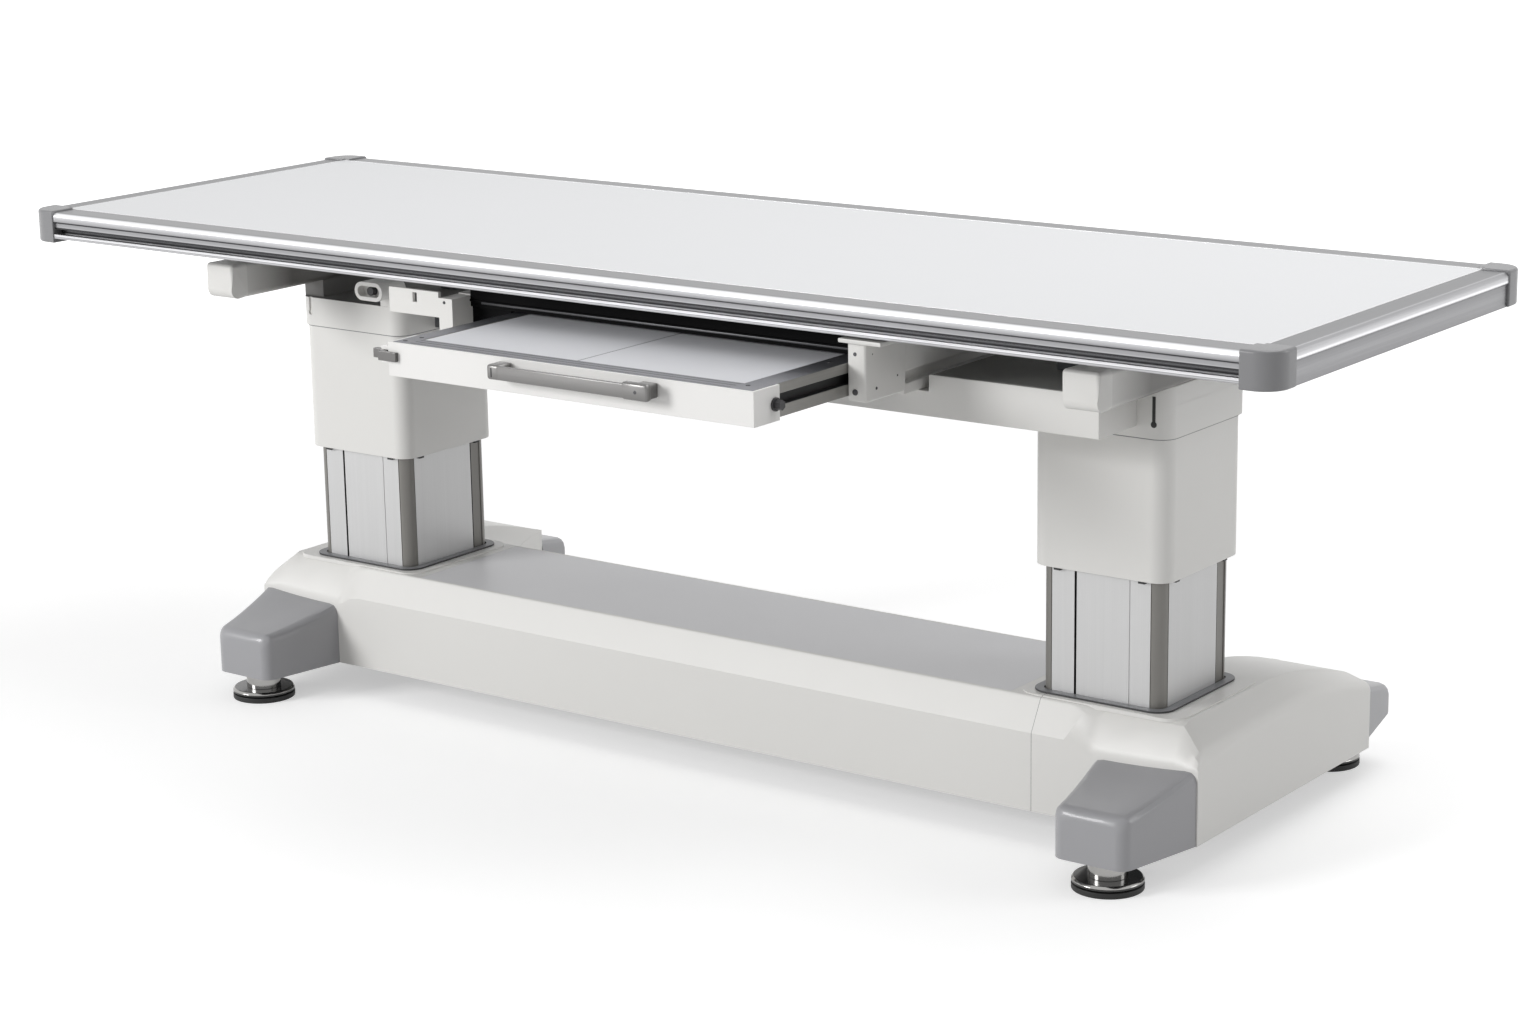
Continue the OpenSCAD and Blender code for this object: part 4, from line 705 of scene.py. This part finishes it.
def finishNode(node, slot):
    material = finishes[nodeFinish.get(node, slotFinish[slot])]
    radius = edgeRound.get(node)
    if radius is None:
        mesh = frame["nodes"][node].data
        mesh.materials.clear()
        mesh.materials.append(material)
        return
    piece = dressNode(node, radius)
    piece.data.materials.append(material)
    for index, (finish, fits) in enumerate(faceFinish.get(node, [])):
        piece.data.materials.append(finishes[finish])
        for face in piece.data.polygons:
            if fits((face.center - designMiddle) * 1000, face.normal):
                face.material_index = index + 1
    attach(piece, bodyOf(node))
    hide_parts(node)


for node, slot in nodeSlots().items():
    finishNode(node, slot)
print("nodes dressed")

# Fasteners and fittings that ride on the nodes


def startPiece(name, bm, body, material):
    mesh = bpy.data.meshes.new(name)
    bm.to_mesh(mesh)
    bm.free()
    mesh.shade_smooth()
    mesh.set_sharp_from_angle(angle=smoothAngle)
    mesh.materials.append(material)
    piece = bpy.data.objects.new(name, mesh)
    bpy.context.scene.collection.objects.link(piece)
    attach(piece, body)
    return piece


def standOn(spot, facing):
    # a frame whose Z looks along the facing
    turn = Vector(facing).to_track_quat("Z", "Y").to_matrix().to_4x4()
    return Matrix.Translation(place(*spot)) @ turn


screwShape = {
    "sides": 28,
    "taper": 0.86,      # the head's top radius as a share of its lower one
    "sunk": 0.8,        # the socket's depth as a share of the head's height
    "brim": 0.15,       # the rounding as a share of that height
    "facesUp": 0.9,     # how straight up a face looks that counts as the top
    "brimAngle": 0.9,   # radians
}


def screwHead(spot, facing, radius, height, socketShare):
    # a head with a rounded brim and its socket sunk in, from sizes in millimetres
    foot, tall = radius * 0.001, height * 0.001
    top = foot * screwShape["taper"]
    bm = bmesh.new()
    bmesh.ops.create_cone(bm, cap_ends=True, segments=screwShape["sides"], radius1=foot,
                          radius2=top, depth=tall)
    cap = max(bm.faces, key=lambda f: f.calc_center_median().z)
    bmesh.ops.inset_region(bm, faces=[cap], thickness=top * (1 - socketShare))
    cap = min((f for f in bm.faces if f.normal.z > screwShape["facesUp"]),
              key=lambda f: f.calc_area())
    sunk = bmesh.ops.extrude_discrete_faces(bm, faces=[cap])["faces"][0]
    bmesh.ops.translate(bm, verts=sunk.verts, vec=(0, 0, -tall * screwShape["sunk"]))
    brim = [e for e in bm.edges if e.is_manifold and e.calc_face_angle() > screwShape["brimAngle"]]
    bmesh.ops.bevel(bm, geom=brim, offset=tall * screwShape["brim"], affect="EDGES", segments=2,
                    profile=0.5, material=-1)
    bmesh.ops.transform(bm, matrix=standOn(spot, facing), verts=bm.verts)
    return bm


def roundedBlock(low, high, radius, steps=3):
    # a block between two corners, in millimetres from the columns' middle, with rounded edges
    bm = bmesh.new()
    bmesh.ops.create_cube(bm, size=1)
    low, high = Vector(low), Vector(high)
    size = (high - low) * 0.001
    bmesh.ops.scale(bm, verts=bm.verts, vec=size)
    bmesh.ops.translate(bm, verts=bm.verts, vec=place(*((low + high) / 2)))
    bmesh.ops.bevel(bm, geom=list(bm.edges), offset=radius * 0.001, affect="EDGES",
                    segments=steps, profile=0.5, material=-1)
    return bm


def joinShapes(shapes):
    # several shapes as one mesh
    whole = bmesh.new()
    carrier = bpy.data.meshes.new("carrier")
    for bm in shapes:
        bm.to_mesh(carrier)
        bm.free()
        whole.from_mesh(carrier)
    bpy.data.meshes.remove(carrier)
    return whole


fasteners = {
    # spot, facing, head radius, height, socket share, body
    "bracketUpper": ((450, -342.2, 703), (0, -1, 0), 2.8, 1.4, 0.62, "bucky"),
    "bracketLower": ((450, -342.6, 652), (0, -1, 0), 4.4, 2.2, 0.64, "bucky"),
    "bracketPinFront": ((467.0, -326, 702), (1, 0, 0), 1.0, 0.5, 0.5, "bucky"),
    "bracketPinLow": ((467.0, -317, 655), (1, 0, 0), 2.2, 0.5, 0.7, "bucky"),
    "bracketPinRear": ((467.0, -268, 664), (1, 0, 0), 1.4, 0.5, 0.5, "bucky"),
    "leftBlock": ((-270, -340.4, 702), (0, -1, 0), 2.4, 1.2, 0.6, "bucky"),
    "trayLeftFront": ((-167, -536, 690.2), (0, 0, 1), 3.4, 0.9, 0.55, "tray"),
    "trayLeftRear": ((-162, -508, 690.2), (0, 0, 1), 3.4, 0.9, 0.55, "tray"),
    "trayRightFront": ((412, -526, 690.2), (0, 0, 1), 3.4, 0.9, 0.55, "tray"),
    "trayRightRear": ((416, -352, 690.2), (0, 0, 1), 3.4, 0.9, 0.55, "tray"),
}


def makeFasteners():
    for name, (spot, facing, radius, height, share, body) in fasteners.items():
        startPiece("screw" + name[0].upper() + name[1:],
                   screwHead(spot, facing, radius, height, share), body,
                   finishes["darkSteel"])


bracketCover = {
    "low": (437.2, -342, 638.4),
    "high": (466.6, -247, 723.6),
    "edge": 4.2,
}


def makeBracketCover():
    bm = roundedBlock(bracketCover["low"], bracketCover["high"], bracketCover["edge"])
    startPiece("bracketCover", bm, "bucky", finishes["warmPaint"])


trayGrip = {
    "bar": ((24, -583.2, 665.6), (286, -577.0, 684.4), 1.1),
    "leftPost": ((20, -583.7, 664.8), (42, -555.1, 685.6), 4.2),
    "rightBlock": ((249, -583.8, 663.6), (292, -571.0, 687.4), 4.6),
    "rightPost": ((264, -580, 665), (289, -555.1, 685), 2.6),
    "screw": ((273, -583.3, 675.4), 3.0, 1.2, 0.6),
    "slot": ((27.6, -583.9, 668.5), (30.2, -582.4, 681.5), 0.6),
}


def makeTrayGrip():
    shapes = [roundedBlock(*trayGrip[k]) for k in ("bar", "leftPost", "rightBlock", "rightPost")]
    piece = startPiece("trayGrip", joinShapes(shapes), "tray",
                       finishes["gripMetal"])
    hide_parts("tray_handle")
    spot, radius, height, share = trayGrip["screw"]
    startPiece("gripScrew", screwHead(spot, (0, -1, 0), radius, height, share), "tray",
               finishes["darkSteel"])
    # the grip's slot is a black piece: painted shade
    startPiece("gripSlot", roundedBlock(*trayGrip["slot"]), "tray",
               finishes["slotPaintedShade"])


edgeBeads = {
    # node that the bead lies on, width and rise above its top in millimetres, body
    "panelBead": ("top_panel", 1.8, 0.3, "top"),
    "cassetteBead": ("cassette", 1.4, 0.2, "tray"),
}
beadSunk = 0.3      # how deep a bead reaches into its sheet, in millimetres


def pullOut(bm, way):
    # every face as one end of a solid, and a copy of it as the other
    raised = bmesh.ops.extrude_face_region(bm, geom=list(bm.faces))
    moved = [v for v in raised["geom"] if isinstance(v, bmesh.types.BMVert)]
    bmesh.ops.translate(bm, verts=moved, vec=way)


def prism(outline, bottom, top):
    # an outline in millimetres from the columns' middle, raised between two heights
    bm = bmesh.new()
    bm.faces.new([bm.verts.new(place(x, y, bottom)) for x, y in outline])
    pullOut(bm, (0, 0, (top - bottom) * 0.001))
    bmesh.ops.recalc_face_normals(bm, faces=bm.faces)
    return bm


head = {
    # millimetres: outlines from the column's axis, other places from the columns' middle
    "half": 108.8, "corner": 21, "skinHalf": 105, "inner": 734,
    "under": 582, "top": 627, "beam": 653, "lap": 0.2,
    "key": 766, "keyWide": 5, "keyLow": 602, "keyTop": 640, "keyDeep": 2, "keyProud": 0.25,
    "keyRound": 0.2, "keyEye": 4.4, "eyeSides": 24,
    "seam": 1.5, "seamOuter": (106.9, 25.2), "seamInner": (103.2, 21.5),
}


def roundedOutline(half, corner, steps=8):
    # a square with rounded corners, round the origin
    points = []
    for k in range(4):
        middle = math.radians(90 * k + 45)
        cx = (half - corner) * (1 if math.cos(middle) > 0 else -1)
        cy = (half - corner) * (1 if math.sin(middle) > 0 else -1)
        for n in range(steps + 1):
            a = math.radians(90 * k + 90 * n / steps)
            points.append((cx + corner * math.cos(a), cy + corner * math.sin(a)))
    return points


def band(outer, inner, bottom, top, closed):
    # a wall between two outlines with as many points each
    bm = bmesh.new()
    rows = [[bm.verts.new(place(x, y, bottom)) for x, y in line] for line in (outer, inner)]
    last = len(outer) if closed else len(outer) - 1
    for k in range(last):
        n = (k + 1) % len(outer)
        bm.faces.new((rows[0][k], rows[0][n], rows[1][n], rows[1][k]))
    pullOut(bm, (0, 0, (top - bottom) * 0.001))
    bmesh.ops.recalc_face_normals(bm, faces=bm.faces)
    return bm


def makeEdgeBead(name):
    # a thin white bead along a sheet's edge: painted highlight of the edge
    node, width, rise, body = edgeBeads[name]
    low, high = ((Vector(c) - designMiddle) * 1000 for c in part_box(node))
    outer, inner = ([(low.x + d, low.y + d), (high.x - d, low.y + d), (high.x - d, high.y - d),
                     (low.x + d, high.y - d)] for d in (0, width))
    startPiece(name, band(outer, inner, high.z - beadSunk, high.z + rise, True), body,
               finishes["beadPaintedHighlight"])


def makeHeadSeam(side, name):
    # the shadow line between a head and its sleeve
    outer, inner = ([(side * faceLimits["columnX"] + x, y) for x, y in roundedOutline(*line)]
                    for line in (head["seamOuter"], head["seamInner"]))
    startPiece("headSeam" + name.title(),
               band(outer, inner, head["under"] - head["seam"], head["under"] + head["lap"], True),
               bodyOf("column_head_" + name), finishes["seamPaintedShade"])


def makeHead(side, name):
    # the head's outer end carried up to the beam, and its key slot
    body = bodyOf("column_head_" + name)
    lines = []
    for half in (head["half"], head["skinHalf"]):
        turned = roundedOutline(half, head["corner"])
        turned = turned[len(turned) * 3 // 4:] + turned[:len(turned) // 4]
        lines.append([(side * head["inner"], -half)]
                     + [(side * (faceLimits["columnX"] + x), y) for x, y in turned]
                     + [(side * head["inner"], half)])
    skin = band(lines[0], lines[1], head["under"] + 2 * head["lap"], head["top"] + head["lap"],
                False)
    cap = prism(lines[0], head["top"], head["beam"])
    startPiece("headCollar" + name.title(), joinShapes([skin, cap]), body,
               finishes["warmPaint"])
    # the key slot and its eye are black pieces standing just proud of the face: painted shade of
    # the keyhole
    key, wide = side * head["key"], head["keyWide"] / 2
    front = -head["half"] - head["keyProud"]
    slot = roundedBlock((key - wide, front, head["keyLow"]),
                        (key + wide, -head["half"] + head["keyDeep"], head["keyTop"]),
                        head["keyRound"], 1)
    eye = bmesh.new()
    eyeRadius, eyeDeep = head["keyEye"] * 0.001, head["keyDeep"] * 0.001
    bmesh.ops.create_cone(eye, cap_ends=True, segments=head["eyeSides"], radius1=eyeRadius,
                          radius2=eyeRadius, depth=eyeDeep)
    eyeSpot = (key, front + head["keyDeep"] / 2, head["keyLow"])
    bmesh.ops.transform(eye, matrix=standOn(eyeSpot, (0, -1, 0)), verts=eye.verts)
    startPiece("headKey" + name.title(), joinShapes([slot, eye]), body,
               finishes["slotPaintedShade"])


duct = [
    # the duct on the tie beam and the dark deck plate over it, in the dark grey of painted shade:
    # low corner, high corner, rounding
    ((442, -28, 625), (571, 30, 636.5), 1.5),
    ((480, -202, 652.6), (744, 54, 655.4), 0.8),
]


def makeDuct():
    startPiece("cableDuct", joinShapes([roundedBlock(*b) for b in duct]), bodyOf("tie_beam"),
               finishes["lidAndDeckPaintedShade"])


flare = {
    # the rear wall where the base widens to the foot, drawn over an opening that the CAD cover
    # has there: places along the wall, how far it stands out and in, lower and upper edge
    "run": [(620.4, 192.9), (632.0, 206.8), (653.2, 241.3), (672.3, 281.2), (689.3, 324.4),
            (702.0, 362.0), (714.0, 362.0)],
    "proud": 0.35, "wall": 3, "low": 44, "high": 153.4,
}


def makeFlare(side, name):
    run = flare["run"]
    normals = []
    for k in range(len(run)):
        a, b = Vector(run[max(k - 1, 0)]), Vector(run[min(k + 1, len(run) - 1)])
        along = (b - a).normalized()
        normals.append(Vector((-along.y, along.x)))
    outer = [Vector(p) + n * flare["proud"] for p, n in zip(run, normals)]
    inner = [Vector(p) - n * flare["wall"] for p, n in zip(run, normals)]
    outline = [(side * p.x, p.y) for p in outer + inner[::-1]]
    startPiece("baseFlare" + name.title(), prism(outline, flare["low"], flare["high"]),
               bodyOf("base_cover_" + name), finishes["warmPaint"])


# metres: the seam's width, how deep it lies, and how near to the cut a face counts as cut
coverSeam = {"wide": 0.0007, "sunk": 0.0003, "cutReach": 0.00005}


def makeCoverSeam():
    # the line between the two base covers, taken from the cut face of the right one: a grey strip
    # in the gap, painted shade
    node = "base_cover_right"
    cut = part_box(node)[0][0]
    bm = bmesh.new()
    bm.from_mesh(frame["nodes"][node].data)
    away = [f for f in bm.faces if any(abs(v.co.x - cut) > coverSeam["cutReach"] for v in f.verts)]
    bmesh.ops.delete(bm, geom=away, context="FACES")
    bmesh.ops.remove_doubles(bm, verts=bm.verts, dist=mergeReach)
    pullOut(bm, (-coverSeam["wide"], 0, 0))
    bmesh.ops.translate(bm, verts=bm.verts, vec=(coverSeam["sunk"], 0, 0))
    bmesh.ops.recalc_face_normals(bm, faces=bm.faces)
    startPiece("coverSeam", bm, bodyOf(node), finishes["seamPaintedShade"])


# low corner, high corner, rounding and its steps
lipHighlight = ((-232, -303.4, 697.6), (414, -301.6, 700.6), 0.6, 2)


def makeLipHighlight():
    # a strip along the bucky's front, lighter than its black housing: the lip, with its highlight
    # painted in
    startPiece("lipHighlight", roundedBlock(*lipHighlight), "bucky", finishes["darkSteel"])


border = {
    "ends": (-150, 398), "heights": (689.2, 690.15), "round": 0.1,
    "lines": [(-544.5, 1.4), (-533.0, 2.2), (-523.0, 1.4)],     # place along Y, width
}


def makeBorderLines():
    # lines drawn along the tray's front border
    (left, right), (low, high) = border["ends"], border["heights"]
    shapes = [roundedBlock((left, y - wide / 2, low), (right, y + wide / 2, high),
                           border["round"], 1) for y, wide in border["lines"]]
    startPiece("borderLines", joinShapes(shapes), "tray", finishes["darkSteel"])


cassetteJoint = {
    "share": 0.495,     # where it runs, from the plate's left edge
    "wide": 0.002, "short": 0.003, "deep": 0.0012, "sunk": 0.00045,
}


def makeCassetteJoint():
    # the line across the cassette where its two sheets meet
    low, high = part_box("cassette")
    x = low[0] + (high[0] - low[0]) * cassetteJoint["share"]
    length = high[1] - low[1] - cassetteJoint["short"]
    size = (cassetteJoint["wide"], length, cassetteJoint["deep"])
    spot = (x, (low[1] + high[1]) / 2, high[2] - cassetteJoint["sunk"])
    bm = bmesh.new()
    bmesh.ops.create_cube(bm, size=1)
    bmesh.ops.scale(bm, verts=bm.verts, vec=size)
    bmesh.ops.translate(bm, verts=bm.verts, vec=spot)
    startPiece("cassetteJoint", bm, "tray", finishes["jointGrey"])


makeFasteners()
makeBracketCover()
makeTrayGrip()
for bead in edgeBeads:
    makeEdgeBead(bead)
makeHead(1, "right")
for side, name in ((-1, "left"), (1, "right")):
    makeFlare(side, name)
    makeHeadSeam(side, name)
makeDuct()
makeLipHighlight()
makeBorderLines()
makeCoverSeam()
makeCassetteJoint()
print("fittings made")
